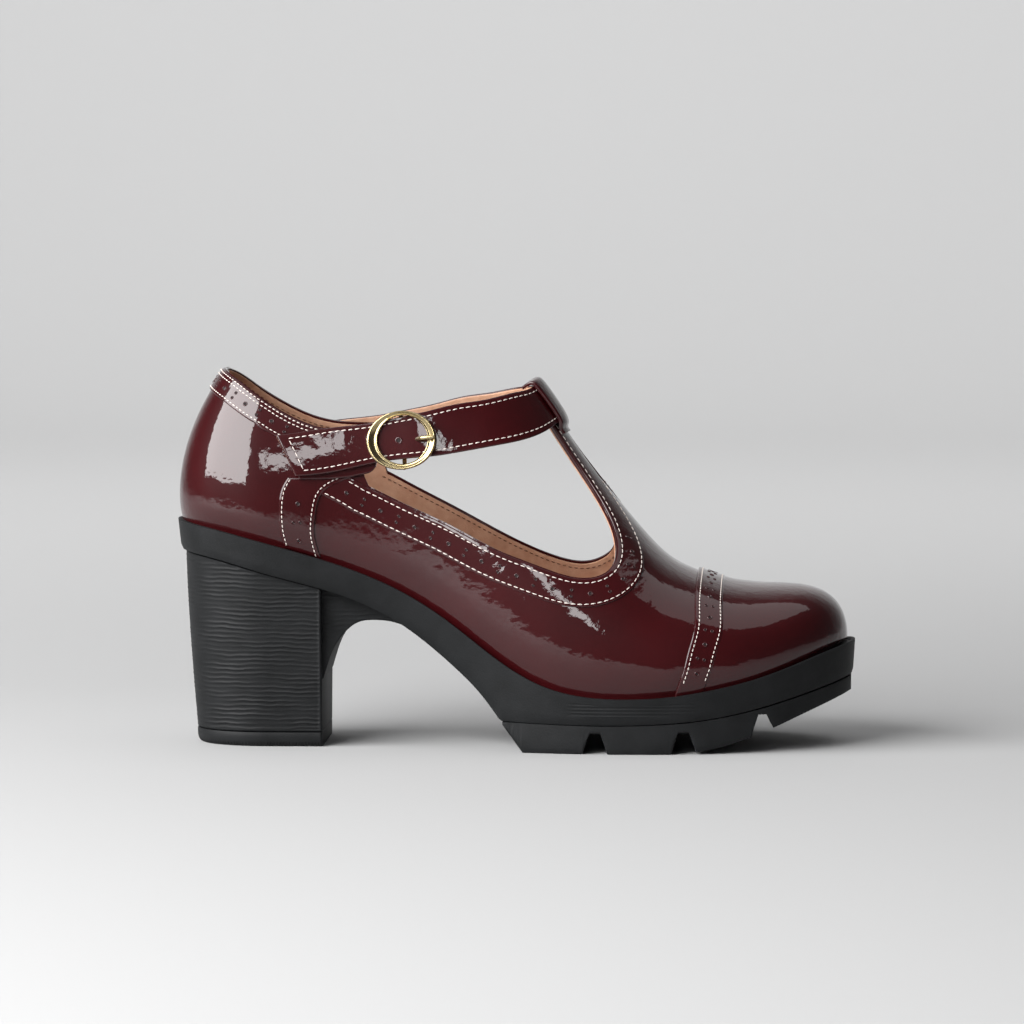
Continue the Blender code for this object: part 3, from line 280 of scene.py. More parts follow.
# %% Mesh helpers
def grid_faces(rows, columns, wrap_rows=False, wrap_columns=False):
    """Four corners of each cell of a grid, as index i * columns + j."""
    one_less = (not wrap_rows), (not wrap_columns)
    i, j = np.meshgrid(np.arange(rows - one_less[0]), np.arange(columns - one_less[1]), indexing="ij")
    n, m = (i + 1) % rows, (j + 1) % columns
    return np.stack([i * columns + j, n * columns + j, n * columns + m, i * columns + m], -1).reshape(-1, 4)


def make_piece(name, points, faces, mat, uv=None, smooth=35, merge=4e-6):
    """Fill a mesh from arrays, move it to the frame, merge doubles and point its faces outwards."""
    points = np.asarray(points, float).reshape(-1, 3) + (BACK, 0, 0)
    mesh = bpy.data.meshes.new(name)
    mesh.vertices.add(len(points))
    mesh.vertices.foreach_set("co", points.astype(np.float32).ravel())
    mesh.loops.add(faces.size)
    mesh.loops.foreach_set("vertex_index", faces.astype(np.int32).ravel())
    mesh.polygons.add(len(faces))
    mesh.polygons.foreach_set("loop_start", np.arange(0, faces.size, faces.shape[1], dtype=np.int32))
    mesh.update(calc_edges=True)
    if uv is not None:
        layer = mesh.uv_layers.new(name="UVMap")
        layer.data.foreach_set("uv", np.asarray(uv, np.float32).reshape(-1, 2)[faces.ravel()].ravel())
    bm = bmesh.new()
    bm.from_mesh(mesh)
    bmesh.ops.remove_doubles(bm, verts=bm.verts, dist=merge)
    bmesh.ops.dissolve_degenerate(bm, edges=bm.edges, dist=1e-7)
    bmesh.ops.recalc_face_normals(bm, faces=bm.faces)
    bm.to_mesh(mesh)
    bm.free()
    mesh.shade_smooth()
    mesh.set_sharp_from_angle(angle=math.radians(smooth))
    mesh.materials.append(mat)
    piece = bpy.data.objects.new(name, mesh)
    bpy.context.scene.collection.objects.link(piece)
    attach(piece, "root")
    return piece


def border(rows, columns):
    """Indices round the border of a grid, in order."""
    index = np.arange(rows * columns).reshape(rows, columns)
    return np.concatenate([index[0, :-1], index[:-1, -1], index[-1, :0:-1], index[:0:-1, 0]])


def leaf(name, top, bottom, mat, uv=None, smooth=35):
    """Thin closed solid: the top grid, the bottom grid turned over, and a wall round the border."""
    rows, columns = top.shape[:2]
    count = rows * columns
    faces = grid_faces(rows, columns)
    edge = border(rows, columns)
    after = np.roll(edge, -1)
    wall = np.stack([edge, edge + count, after + count, after], -1)
    points = np.concatenate([top.reshape(-1, 3), bottom.reshape(-1, 3)])
    both = None if uv is None else np.concatenate([uv.reshape(-1, 2)] * 2)
    return make_piece(name, points, np.concatenate([faces, faces[:, ::-1] + count, wall]), mat, both, smooth)


def steps(length, count, radius):
    """Places 0 to 1 over a strip, crowded at both borders, and there the height of a quarter circle."""
    corner = np.clip(radius / length, 0, 0.45) * (1 - np.cos(np.linspace(0, math.pi / 2, 5)))
    places = np.concatenate([corner, np.linspace(corner[-1], 1 - corner[-1], count)[1:-1], 1 - corner[::-1]])
    reach = np.clip(np.minimum(places, 1 - places) * length / radius, 0, 1)
    return places, np.sqrt(1 - (1 - reach) ** 2)


# %% [markdown]
# ## Materials
# Patent leather is a deep red skin under a thick clear lacquer. The colour sits in the base layer and
# the mirror in the coat, whose normal carries the soft unevenness that breaks up a reflection's edge.
# Rubber, lining, thread and plated brass each get their own grain at their own scale.

# %% Node helpers
def new_material(name, colour, roughness, metallic=0.0, **values):
    """Principled material; further inputs go by their names, with _ for a space."""
    mat = bpy.data.materials.new(name)
    mat.use_nodes = True
    shader = mat.node_tree.nodes["Principled BSDF"]
    shader.inputs["Base Color"].default_value = (*colour, 1.0)
    shader.inputs["Roughness"].default_value = roughness
    shader.inputs["Metallic"].default_value = metallic
    for key, value in values.items():
        shader.inputs[key.replace("_", " ")].default_value = value
    return mat


def node(mat, kind, **values):
    """New shader node with its settings and inputs by name."""
    made = mat.node_tree.nodes.new(kind)
    for key, value in values.items():
        if hasattr(made, key):
            setattr(made, key, value)
        else:
            made.inputs[key.replace("_", " ")].default_value = value
    return made


def join(mat, a, b):
    mat.node_tree.links.new(a, b)


def noise(mat, scale, detail=3.0, stretch=(1, 1, 1)):
    """3-D noise on Object coordinates, stretched per axis."""
    where = node(mat, "ShaderNodeTexCoord")
    mapping = node(mat, "ShaderNodeMapping")
    mapping.inputs["Scale"].default_value = stretch
    join(mat, where.outputs["Object"], mapping.inputs["Vector"])
    made = node(mat, "ShaderNodeTexNoise", Scale=scale, Detail=detail)
    join(mat, mapping.outputs["Vector"], made.inputs["Vector"])
    return made


def add_bump(mat, height, strength, distance, inputs=("Normal",), before=None):
    """Bump from a height, after another bump if one is given, into the shader's normals."""
    bump = node(mat, "ShaderNodeBump", Strength=strength, Distance=distance)
    join(mat, height, bump.inputs["Height"])
    if before:
        join(mat, before.outputs["Normal"], bump.inputs["Normal"])
    for name in inputs:
        join(mat, bump.outputs["Normal"], mat.node_tree.nodes["Principled BSDF"].inputs[name])
    return bump


def tint(mat, value, low, high, colour_low, colour_high):
    """Colour ramp from one colour to another over a range of a value, into the base colour."""
    ramp = node(mat, "ShaderNodeValToRGB")
    ramp.color_ramp.elements[0].position, ramp.color_ramp.elements[1].position = low, high
    ramp.color_ramp.elements[0].color = (*colour_low, 1)
    ramp.color_ramp.elements[1].color = (*colour_high, 1)
    join(mat, value, ramp.inputs["Fac"])
    join(mat, ramp.outputs["Color"], mat.node_tree.nodes["Principled BSDF"].inputs["Base Color"])
    return ramp


# %% The finishes
PATENT = new_material("oxblood_patent", (0.09, 0.006, 0.009), 0.42, Coat_Weight=1.0, Coat_Roughness=0.025,
                      Coat_IOR=1.5, Specular_IOR_Level=0.08)
tint(PATENT, noise(PATENT, 35, 4).outputs["Fac"], 0.3, 0.7, (0.025, 0.0012, 0.0019), (0.035, 0.0018, 0.0028))
soft = add_bump(PATENT, noise(PATENT, 130, 2).outputs["Fac"], 0.35, 0.0006, ("Coat Normal",))
add_bump(PATENT, noise(PATENT, 900, 2).outputs["Fac"], 0.10, 0.0002, ("Coat Normal",), soft)
add_bump(PATENT, noise(PATENT, 1600, 3).outputs["Fac"], 0.25, 0.0002, ("Normal",))

LINING = new_material("tan_lining", (0.50, 0.28, 0.17), 0.62)
tint(LINING, noise(LINING, 300, 5).outputs["Fac"], 0.3, 0.75, (0.44, 0.225, 0.135), (0.56, 0.33, 0.215))
add_bump(LINING, noise(LINING, 2200, 4, (1, 1, 2.2)).outputs["Fac"], 0.5, 0.0003)

THREAD = new_material("cream_thread", (0.68, 0.60, 0.55), 0.6)
add_bump(THREAD, noise(THREAD, 5000, 1).outputs["Fac"], 0.3, 0.0001)
BROWN_THREAD = new_material("brown_thread", (0.13, 0.055, 0.03), 0.7)
add_bump(BROWN_THREAD, noise(BROWN_THREAD, 5000, 1).outputs["Fac"], 0.3, 0.0001)

RUBBER = new_material("black_rubber", (0.010, 0.011, 0.012), 0.58, Specular_IOR_Level=0.22)
tint(RUBBER, noise(RUBBER, 120, 5).outputs["Fac"], 0.3, 0.75,
     (0.0050, 0.0055, 0.0060), (0.0095, 0.0101, 0.0110))
add_bump(RUBBER, noise(RUBBER, 1500, 4).outputs["Fac"], 0.25, 0.0003)

GOLD = new_material("old_gold", (0.42, 0.34, 0.19), 0.22, 1.0)
tint(GOLD, noise(GOLD, 500, 4).outputs["Fac"], 0.35, 0.7, (0.36, 0.28, 0.14), (0.52, 0.43, 0.25))
add_bump(GOLD, noise(GOLD, 1500, 2).outputs["Fac"], 0.06, 0.0001)

# Near-black matte colour of the discs in the punched holes: painted shade for the inside of each hole.
HOLE_SHADE_PAINT = new_material("punched_hole_painted_shade", (0.006, 0.001, 0.001), 0.8)

# %% [markdown]
# ## The opening's edge
# The collar drops from the back of the heel to the quarter's corner, and the throat runs from there
# along the vamp, turns round in front of the instep and climbs the T-strap. The rows give places and
# shares of height. A curve that doubles back is read by its own length, and near its foremost point by
# the square root of the distance to it, so that the turn stays round.

# %% Collar and throat
COLLAR = {
    -1: ((0.0715, 0.800), (0.094, 0.760), (0.120, 0.705), (0.146, 0.655), (0.178, 0.603), (0.226, 0.551),
         (0.262, 0.537)),
    1: ((0.0715, 0.800), (0.091, 0.758), (0.112, 0.706), (0.146, 0.640), (0.178, 0.592), (0.226, 0.546),
        (0.285, 0.532)),
}
THROAT = {
    -1: ((0.287, 0.333), (0.341, 0.304), (0.408, 0.312), (0.470, 0.347), (0.525, 0.404), (0.567, 0.456),
         (0.597, 0.503), (0.621, 0.560), (0.641, 0.640), (0.651, 0.730), (0.651, 0.812), (0.643, 0.873),
         (0.627, 0.913), (0.604, 0.938), (0.576, 0.950), (0.548, 0.958), (0.527, 0.966)),
    1: ((0.298, 0.358), (0.341, 0.330), (0.408, 0.324), (0.470, 0.350), (0.525, 0.393), (0.567, 0.443),
        (0.597, 0.500), (0.619, 0.570), (0.635, 0.652), (0.643, 0.740), (0.643, 0.812), (0.637, 0.868),
        (0.622, 0.908), (0.601, 0.933), (0.575, 0.947), (0.548, 0.958), (0.527, 0.966)),
}
T_STRAP_END = 0.527


def throat_curve(side, count=600):
    """Place and share along the throat, read by the length along the rows."""
    table = np.asarray(THROAT[side])
    run = np.concatenate([[0], np.cumsum(np.hypot(np.diff(table[:, 0]) * 3, np.diff(table[:, 1])))])
    rows = np.column_stack([run, table])
    at = np.linspace(0, run[-1], count)
    return spline(rows, 1, at), spline(rows, 2, at)


def throat_branches(side):
    """Foremost place, and for the lower and the upper branch the share against sqrt(distance to it)."""
    place, share = throat_curve(side)
    turn = int(np.argmax(place))
    front = place[turn]
    root = np.sqrt(np.maximum(front - place, 0))
    return front, (root[:turn + 1][::-1], share[:turn + 1][::-1]), (root[turn:], share[turn:])


BRANCH = {side: throat_branches(side) for side in (-1, 1)}


def top_share(x, side):
    """Share of height of the wall's top edge: collar, then a slope at the quarter's corner, then throat."""
    front, lower, _ = BRANCH[side]
    place = x / LENGTH
    collar_end, throat_start = COLLAR[side][-1][0], THROAT[side][0][0]
    collar = spline(COLLAR[side], 1, np.clip(place, COLLAR[side][0][0], collar_end))
    throat = np.interp(np.sqrt(np.maximum(front - place, 0)), *lower)
    return collar + (throat - collar) * ease((place - collar_end) / (throat_start + 0.004 - collar_end))


def under_share(x, side):
    """Share of height of the T-strap's edge."""
    front, _, upper = BRANCH[side]
    return np.interp(np.sqrt(np.maximum(front - x / LENGTH, 0)), *upper)


for side in (-1, 1):
    print(f"side {side:+d}: the throat turns {BRANCH[side][0] * LENGTH * 1000:.1f} mm from the back")

# %% [markdown]
# ## The upper
# Quarters, vamp and T-strap are one skin with two side cut-outs. A trimmed surface would leave ragged
# edges in a mirror finish, so the grid itself follows the opening: the wall's rows end on the top edge,
# the T-strap's rows begin on the throat, and both meet in the vamp's rows in front of the turn. A
# Solidify gives the skin its thickness and a Bevel rolls its cut edges.

# %% Grids of the upper
WALL_ROWS, STRAP_ROWS_COUNT = 40, 22


def crowd(count, power):
    """Shares 0 to 1, crowded towards 1: 1 - (1 - t)^power."""
    return 1 - (1 - np.linspace(0, 1, count)) ** power


def upper_sheets(drop=0.0, offset=0.0):
    """Grids of points for the skin: drop lowers its edges along v, offset moves it along the normal."""
    sheets = []
    rows = np.linspace(0, 1, WALL_ROWS)[None, :]
    ups = np.linspace(0, 1, STRAP_ROWS_COUNT)[None, :]
    fronts = {side: BRANCH[side][0] * LENGTH for side in (-1, 1)}
    turn = crowd(34, 1.8)
    ahead = 1 - crowd(46, 1.5)[::-1]
    middle = {}
    for key, start, end, share in (("t", T_STRAP_END * LENGTH, None, turn), ("f", None, TIP, ahead)):
        lines = [(start or fronts[s]) + ((end or fronts[s]) - (start or fronts[s])) * share for s in (-1, 1)]
        middle[key] = (lines[0] + lines[1]) / 2
    for side in (-1, 1):
        front = fronts[side]
        back_run = np.concatenate([np.linspace(0, 0.85, 84), 0.85 + 0.15 * crowd(18, 1.8)[1:]])
        walk_x = HEEL_CENTRE + (front - HEEL_CENTRE) * back_run
        u = np.concatenate([np.linspace(0, 1, 34)[:-1], u_at(walk_x, TIP)])
        edge = solve_v(u, side, lambda p: p[..., 2] - level(p[..., 0], top_share(p[..., 0], side)))
        v = (edge - drop)[:, None] * rows
        sheets.append(sunk(u[:, None] + 0 * v, side, v, offset))
        corner = edge[-1]

        strap_x = T_STRAP_END * LENGTH + (front - T_STRAP_END * LENGTH) * turn
        edge = v_at(u_at(strap_x, TIP), side, under_share(strap_x, side))
        edge[-1] = corner
        x = strap_x[:, None] + (middle["t"] - strap_x)[:, None] * ease(ups)
        v = np.minimum(edge + drop, 1)[:, None] * (1 - ups) + ups
        v[-1] = (corner - drop) * (1 - ups) + ups if drop else v[-1]
        sheets.append(last(u_at(x, TIP), side, v, offset))

        front_x = front + (TIP - front) * ahead
        inward = (middle["f"] - front_x)[:, None] * ease(ups[:, 1:])
        x = np.concatenate([front_x[:, None] + 0 * rows, front_x[:, None] + inward], 1)
        v = np.concatenate([(corner - drop) * rows, (corner - drop) * (1 - ups[:, 1:]) + ups[:, 1:]], 1)
        v = v + 0 * x
        sheets.append(sunk(np.minimum(u_at(x, TIP), U_END), side, v, offset))
    return sheets


def sunk(u, side, v, offset):
    """Points of the last with one more row at the foot, pushed down into the sole."""
    points = last(u, side, v, offset)
    foot = points[:, :1] - (0, 0, 1.4 * MM)
    return np.concatenate([foot, points], 1)


def skin(name, sheets, thickness, mat, edge_round):
    """One mesh from several grids that share their edges, with thickness and rolled edges."""
    points, faces, start = [], [], 0
    for sheet in sheets:
        points.append(sheet.reshape(-1, 3))
        faces.append(grid_faces(*sheet.shape[:2]) + start)
        start += points[-1].shape[0]
    piece = make_piece(name, np.concatenate(points), np.concatenate(faces), mat, merge=1e-5)
    solid = piece.modifiers.new("wall", "SOLIDIFY")
    solid.thickness = thickness
    solid.offset = -1
    rolled = piece.modifiers.new("rolled_edge", "BEVEL")
    rolled.width = edge_round
    rolled.segments = 3
    rolled.limit_method = "ANGLE"
    rolled.angle_limit = math.radians(55)
    return piece


# %% Leather skin and its lining
LEATHER_WALL, LINING_WALL = 1.1 * MM, 0.6 * MM
upper = skin("upper_leather", upper_sheets(), LEATHER_WALL, PATENT, 0.3 * MM)
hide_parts("upper")
lining = skin("upper_lining", upper_sheets(0.006, -LEATHER_WALL - 0.05 * MM), LINING_WALL, LINING, 0.15 * MM)
print("upper:", len(upper.data.vertices), "points, lining:", len(lining.data.vertices))

# %% [markdown]
# ## Lines on the last
# Stitches, strips and punched holes all keep a distance from an edge. A curve is moved over the last in
# small steps, each one in the surface and square to the curve, so that the lines stay parallel however
# the leather bends, as a maker's compass would draw them.

# %% Move a line over the last
def walk(line, distance, turn, count=10):
    """Each step solves a * (slope along u) + b * (slope along v) = step, with the step square to the line."""
    u, side, v = (np.array(a, float) for a in line)
    for _ in range(count if distance else 0):
        along, across = (slope / (2 * SMALL) for slope in slopes(u, side, v))
        normal = unit(np.cross(along, across) * -side[..., None])
        square = np.cross(normal, unit(np.gradient(bare_last(u, side, v), axis=0)))
        move = square * (np.asarray(turn) * distance / count)[..., None]
        aa, ab, bb = (along * along).sum(-1), (along * across).sum(-1), (across * across).sum(-1)
        am, bm = (along * move).sum(-1), (across * move).sum(-1)
        det = aa * bb - ab * ab
        u = u + (bb * am - ab * bm) / det
        v = np.clip(v + (aa * bm - ab * am) / det, 0.001, 0.9999)
    return u, side, v


def line_at(place, share, side):
    """Line on one side through places along the length and shares of height."""
    x = np.asarray(place) * LENGTH
    u = u_at(x, TIP)
    sides = np.full(u.shape, float(side))
    return u, sides, v_at(u, sides, np.asarray(share))


def collar_line(count=160, end=0.250):
    """Collar from the outer quarter round the back to the inner quarter."""
    reach = float(u_at(end * LENGTH, TIP))
    signed = np.linspace(-reach, reach, count)
    u, side = np.abs(signed), np.where(signed < 0, -1.0, 1.0)
    v = np.empty(count)
    for one in (-1, 1):
        on = side == one
        v[on] = solve_v(u[on], one, lambda p: p[..., 2] - level(p[..., 0], top_share(p[..., 0], one)))
    return u, side, v


def throat_line(side, start=0.0, end=1.0, count=240):
    """Throat from its corner to the T-strap's end, or a share of that way."""
    place, share = throat_curve(side)
    at = np.linspace(start, end, count) * (len(place) - 1)
    index = np.arange(len(place))
    return line_at(np.interp(at, index, place), np.interp(at, index, share), side)


COLLAR_LINE = collar_line()
THROAT_LINE = {side: throat_line(side) for side in (-1, 1)}
print(f"collar line {np.linalg.norm(np.diff(last(*COLLAR_LINE), axis=0), axis=1).sum() * 1000:.0f} mm long")

# %% [markdown]
# ## Strips sewn on the upper
# A strip is a band between two such lines. Its top stands a little over the leather and rounds off at
# its cut edges, and its bottom lies just inside the leather, so the two never part.

# %% Bands between two lines
STRIP_HEIGHT, THROAT_STRIP_HEIGHT = 0.75 * MM, 0.5 * MM
STRIP_SINK = 0.25 * MM


def smooth_resample(line, places):
    """Read a line on the last again at shares of its length."""
    points = last(*line)
    run = np.concatenate([[0], np.cumsum(np.linalg.norm(np.diff(points, axis=0), axis=1))])
    signed = np.interp(places * run[-1], run, line[0] * line[1])
    side = np.where(signed < 0, -1.0, 1.0)
    return np.abs(signed), side, np.interp(places * run[-1], run, line[2]), run[-1]


def band(name, near, far, height, mat, count=160, across=9, radius=0.45 * MM, sink=STRIP_SINK):
    """Closed band over the last between two lines, its height rounded off at all four borders."""
    length = smooth_resample(near, np.zeros(1))[3]
    places, rise_along = steps(length, count, radius)
    a, b = smooth_resample(near, places), smooth_resample(far, places)
    width = float(np.median(np.linalg.norm(last(*a[:3]) - last(*b[:3]), axis=1)))
    k, rise_across = steps(width, across, radius)
    signed = (a[0] * a[1])[:, None] * (1 - k) + (b[0] * b[1])[:, None] * k
    side = np.where(signed < 0, -1.0, 1.0)
    v = a[2][:, None] * (1 - k) + b[2][:, None] * k
    rise = 0.35 + 0.65 * np.minimum(rise_along[:, None], rise_across[None, :])
    top = last(np.abs(signed), side, v, height * rise)
    bottom = last(np.abs(signed), side, v, -sink + 0 * rise)
    piece = leaf(name, top, bottom, mat)
    return piece


# %% Collar, quarter and throat strips
QUARTER_FRONT = (
    (0.2200, 0.000), (0.2110, 0.100), (0.2115, 0.170), (0.2150, 0.235), (0.2225, 0.283), (0.2360, 0.316),
    (0.2546, 0.343), (0.2720, 0.364), (0.2860, 0.380))
QUARTER_REAR = (
    (0.1670, 0.000), (0.1615, 0.061), (0.1590, 0.124), (0.1590, 0.209), (0.1643, 0.286), (0.1750, 0.345))


def table_line(rows, side, low, high, count=60):
    """Line up one side, from a low to a high share, with its place read from the rows."""
    share = np.linspace(low, high, count)
    swapped = [(row[1], row[0]) for row in rows]
    return line_at(spline(swapped, 1, share), share, side)


def cut_line(line, low, high):
    """The stretch of a line between two shares of its points."""
    start, end = int(low * len(line[0])), int(math.ceil(high * len(line[0])))
    return tuple(a[start:end] for a in line)


def vamp_line(side, start):
    """The throat's line, carried on behind its corner in a straight line to a place under the quarter."""
    place, share = throat_curve(side)
    behind = np.linspace(start, place[0], 30)[:-1]
    rise = share[0] + 1.2 * (place[0] - behind)
    return line_at(np.concatenate([behind, place[::3]]), np.concatenate([rise, share[::3]]), side)


COLLAR_STRIP = 9.3 * MM
collar_edges = walk(COLLAR_LINE, 0.5 * MM, 1.0), walk(COLLAR_LINE, COLLAR_STRIP, 1.0)
collar_strip = band("collar_strip_patent", *collar_edges, STRIP_HEIGHT, PATENT, 200)
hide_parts("collar_strip")
for side, label in ((-1, "outer"), (1, "inner")):
    rear, front = table_line(QUARTER_REAR, side, 0.004, 0.33), table_line(QUARTER_FRONT, side, 0.004, 0.378)
    strip = band(f"quarter_strip_{label}_patent", rear, front, STRIP_HEIGHT, PATENT, 60)
    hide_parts(f"quarter_strip_{label}")
    near, far = walk(vamp_line(side, 0.2585), 0.45 * MM, side), walk(vamp_line(side, 0.226), 10.9 * MM, side)
    band(f"throat_strip_{label}", near, far, THROAT_STRIP_HEIGHT, PATENT, 260)

# %% [markdown]
# ## The toe cap
# The cap is a second skin over the toe, with a perforated strip round its rear edge. Both are grids on
# the last between the cap's rear line and the tip.

# %% Toe cap and its strip
CAP_REAR = (
    (0.739, 0.000), (0.744, 0.090), (0.7517, 0.213), (0.7591, 0.388), (0.7665, 0.561), (0.7669, 0.736),
    (0.7677, 0.940), (0.768, 1.000))
CAP_HEIGHT = 0.95 * MM


def cap_rear(v):
    """Place of the cap's rear edge against v, from the rows of places and shares of height."""
    share = np.asarray([row[1] for row in CAP_REAR])
    place = np.asarray([row[0] for row in CAP_REAR])
    u = u_at(place * LENGTH, TIP)
    own = v_at(u, -1.0, np.minimum(share, 0.9999))
    own[-1], own[0] = 1.0, 0.0
    return spline(np.column_stack([own, place]), 1, v) * LENGTH


def across_toe(count):
    """v and side over the toe from the outer foot over the ridge to the inner foot."""
    k = np.linspace(-1, 1, count)
    return 1 - np.abs(k), np.where(k < 0, -1.0, 1.0)


def cap_grid(reach, count=121):
    """u, side and v over the cap: reach is 0 at the rear edge and 1 at the tip."""
    v, side = across_toe(count)
    rear = cap_rear(v)
    x = rear[None, :] + (TIP - rear)[None, :] * reach[:, None]
    return np.minimum(u_at(x, TIP), U_END), side[None, :] + 0 * x, v[None, :] + 0 * x


reach = np.concatenate([np.linspace(0, 0.004, 4), np.sin(np.linspace(0.02, 1, 70) * math.pi / 2)])
u, side, v = cap_grid(reach)
rise = 0.4 + 0.6 * np.sqrt(1 - (1 - np.clip(reach / 0.008, 0, 1)) ** 2)[:, None]
top, bottom = last(u, side, v, CAP_HEIGHT * rise), last(u, side, v, -0.2 * MM + 0 * v)
for sheet in (top, bottom):
    sheet[..., 2] = np.where(v < 0.001, sheet[..., 2] - 1.0 * MM, sheet[..., 2])
toe_cap = leaf("toe_cap_patent", top, bottom, PATENT)
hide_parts("toe_cap")
CAP_STRIP = 10.6 * MM


def cap_line(distance, count=200):
    """Line over the toe at a distance ahead of the cap's rear edge."""
    v, side = across_toe(count)
    x = cap_rear(v)
    u = u_at(x, TIP)
    slope = np.linalg.norm(slopes(u, side, v)[0], axis=-1) / (2 * SMALL)
    return u + distance / slope, side, v


k, rise_k = steps(CAP_STRIP, 9, 0.45 * MM)
lines = [cap_line(CAP_STRIP * share, 161) for share in k]
u = np.stack([line[0] for line in lines])
v = np.stack([np.clip(line[2], 0.004, 1) for line in lines])
side = np.stack([line[1] for line in lines])
rise = (0.3 + 0.7 * rise_k)[:, None] + 0 * u
strip_top = last(u, side, v, CAP_HEIGHT * 0.6 + 0.6 * MM * rise)
cap_strip = leaf("toe_cap_strip", strip_top, last(u, side, v, 0.3 * MM + 0 * u), PATENT)
print("toe cap and four strips laid")

# %% [markdown]
# ## Platform, heel and tread
# The sole's parts are rings carried along the shoe: at each place along the length, a ring goes round
# the section, and its corners are rounded by a few points each. The platform's side carries fine moulded
# ribs and the heel a wavy grain. Both are real relief, because light rakes along them in the photograph.

# %% Platform
BAND_DRAFT, WAIST_DRAFT = 0.0012, 0.0030
ARCH_ROWS = (
    (0.000, 0.866), (0.060, 0.838), (0.138, 0.776), (0.228, 0.702), (0.276, 0.650), (0.307, 0.606),
    (0.329, 0.570), (0.380, 0.464), (0.429, 0.340), (0.454, 0.266), (0.478, 0.175), (0.500, 0.080))
PARTING_ROWS = (
    (0.480, 0.565), (0.550, 0.540), (0.630, 0.525), (0.710, 0.545), (0.791, 0.635), (0.872, 0.835),
    (0.933, 1.045), (1.000, 1.290))
ARCH_END, PARTING_START, WAIST_START, WAIST_END = 0.5, 0.47, 0.22, 0.44
RIB_PITCH, PLATFORM_RIB, TREAD_RIB = 1.25 * MM, 0.12 * MM, 0.15 * MM


def parting(x):
    """Height of the line between platform and tread."""
    return PLATFORM_HEIGHT * spline(PARTING_ROWS, 1, x / LENGTH)


def underside(x):
    """Underside of the platform: the arch behind, the parting line ahead, whichever is higher."""
    arch = SEAT_HEIGHT * spline(ARCH_ROWS, 1, np.minimum(x / LENGTH, ARCH_END))
    return np.maximum(arch, np.where(x / LENGTH > PARTING_START, parting(x), 0.0))


def waist(x):
    """1 under the arch, where the band's side leans in more, and 0 elsewhere."""
    return ease((x / LENGTH - WAIST_START) / 0.12) * (1 - ease((x / LENGTH - WAIST_END) / 0.10))


def ring_solid(name, rings, mat, smooth=35):
    """Closed solid from rings of points in a row, with a fan-free cap at both ends by merging them flat."""
    rows, columns = rings.shape[:2]
    faces = grid_faces(rows, columns, wrap_columns=True)
    half = columns // 2
    caps = []
    for row in (0, rows - 1):
        base = row * columns
        j = np.arange(half - 1)
        caps.append(np.stack([base + j, base + j + 1, base + columns - 2 - j, base + columns - 1 - j], -1))
    return make_piece(name, rings, np.concatenate([faces] + caps), mat, smooth=smooth)


def whole_rings(outer, inner):
    """Rings round the whole section, from its outer half and its inner one."""
    return np.concatenate([outer, inner[:, ::-1]], 1)


def rib(height, depth):
    """Rounded ribs: depth times the power of a cosine, out of the surface."""
    return depth * (0.5 + 0.5 * np.cos(2 * math.pi * height / RIB_PITCH)) ** 1.5


u = np.concatenate([np.linspace(0.01, 1, 50), 1 + np.linspace(0, 1, 300)[1:-1], [1.996]])
x0, _ = plan(u, -1, 0, 0, 0)
low, top = underside(x0), rim(x0)
draft = BAND_DRAFT + (WAIST_DRAFT - BAND_DRAFT) * waist(x0)
share = np.concatenate([[0, 0.15], np.linspace(0.3, 0.92, 60), [0.96, 0.985]])
side_in = draft[:, None] * (1 - share) ** 1.1 + 0.5 * MM * np.clip(1 - share / 0.04, 0, 1)
height = low[:, None] + (top - low)[:, None] * share
ribbed = ease((x0 / LENGTH - 0.58) / 0.02) * (1 - ease((x0 / LENGTH - 0.76) / 0.03))
on_side = ribbed[:, None] * (share > 0.2) * (share < 0.75)
side_in = side_in + (PLATFORM_RIB - rib(height, PLATFORM_RIB)) * on_side
top_in = np.array([0.10, 0.35, 0.8, 1.5, 2.2, 2.6]) * MM
top_drop = np.array([0.20, 0.03, 0.0, 0.0, 0.35, 1.2]) * MM
insets = np.concatenate([side_in, np.broadcast_to(top_in, (len(u), 6))], 1)
heights = np.concatenate([height, top[:, None] - top_drop], 1)
half_rings = []
for side in (-1, 1):
    x, y = plan(u[:, None], side, insets, insets, 0.6 * insets)
    half_rings.append(np.stack([x, y, heights], -1))
platform = ring_solid("platform_rubber", whole_rings(*half_rings), RUBBER)
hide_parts("platform")

# %% Tread with its notches and toothed edges
TREAD_ROWS = (
    (0.480, 0.000), (0.560, 0.000), (0.650, 0.000), (0.735, 0.000), (0.790, 0.080), (0.850, 0.285),
    (0.920, 0.640), (1.000, 1.030))
NOTCH_ROWS = ((0.623, 0.036, 0.365), (0.752, 0.036, 0.385), (0.866, 0.032, 0.690))
TREAD_SET_IN, NOTCH_SLOPE, TREAD_START = 0.0006, 0.0025, 0.4855
TOOTH_PITCH, TOOTH = 1.15 * MM, 0.35 * MM


def tread_bottom(x):
    """Bottom of the tread: its curve, raised to each notch's roof between two sloping walls."""
    bottom = np.maximum(PLATFORM_HEIGHT * spline(TREAD_ROWS, 1, x / LENGTH), 0)
    for place, mouth, roof in NOTCH_ROWS:
        inside = (mouth * LENGTH / 2 - np.abs(x - place * LENGTH)) / NOTCH_SLOPE
        notched = bottom + (roof * PLATFORM_HEIGHT - bottom) * np.clip(inside, 0, 1)
        bottom = np.where(inside > 0, notched, bottom)
    return bottom


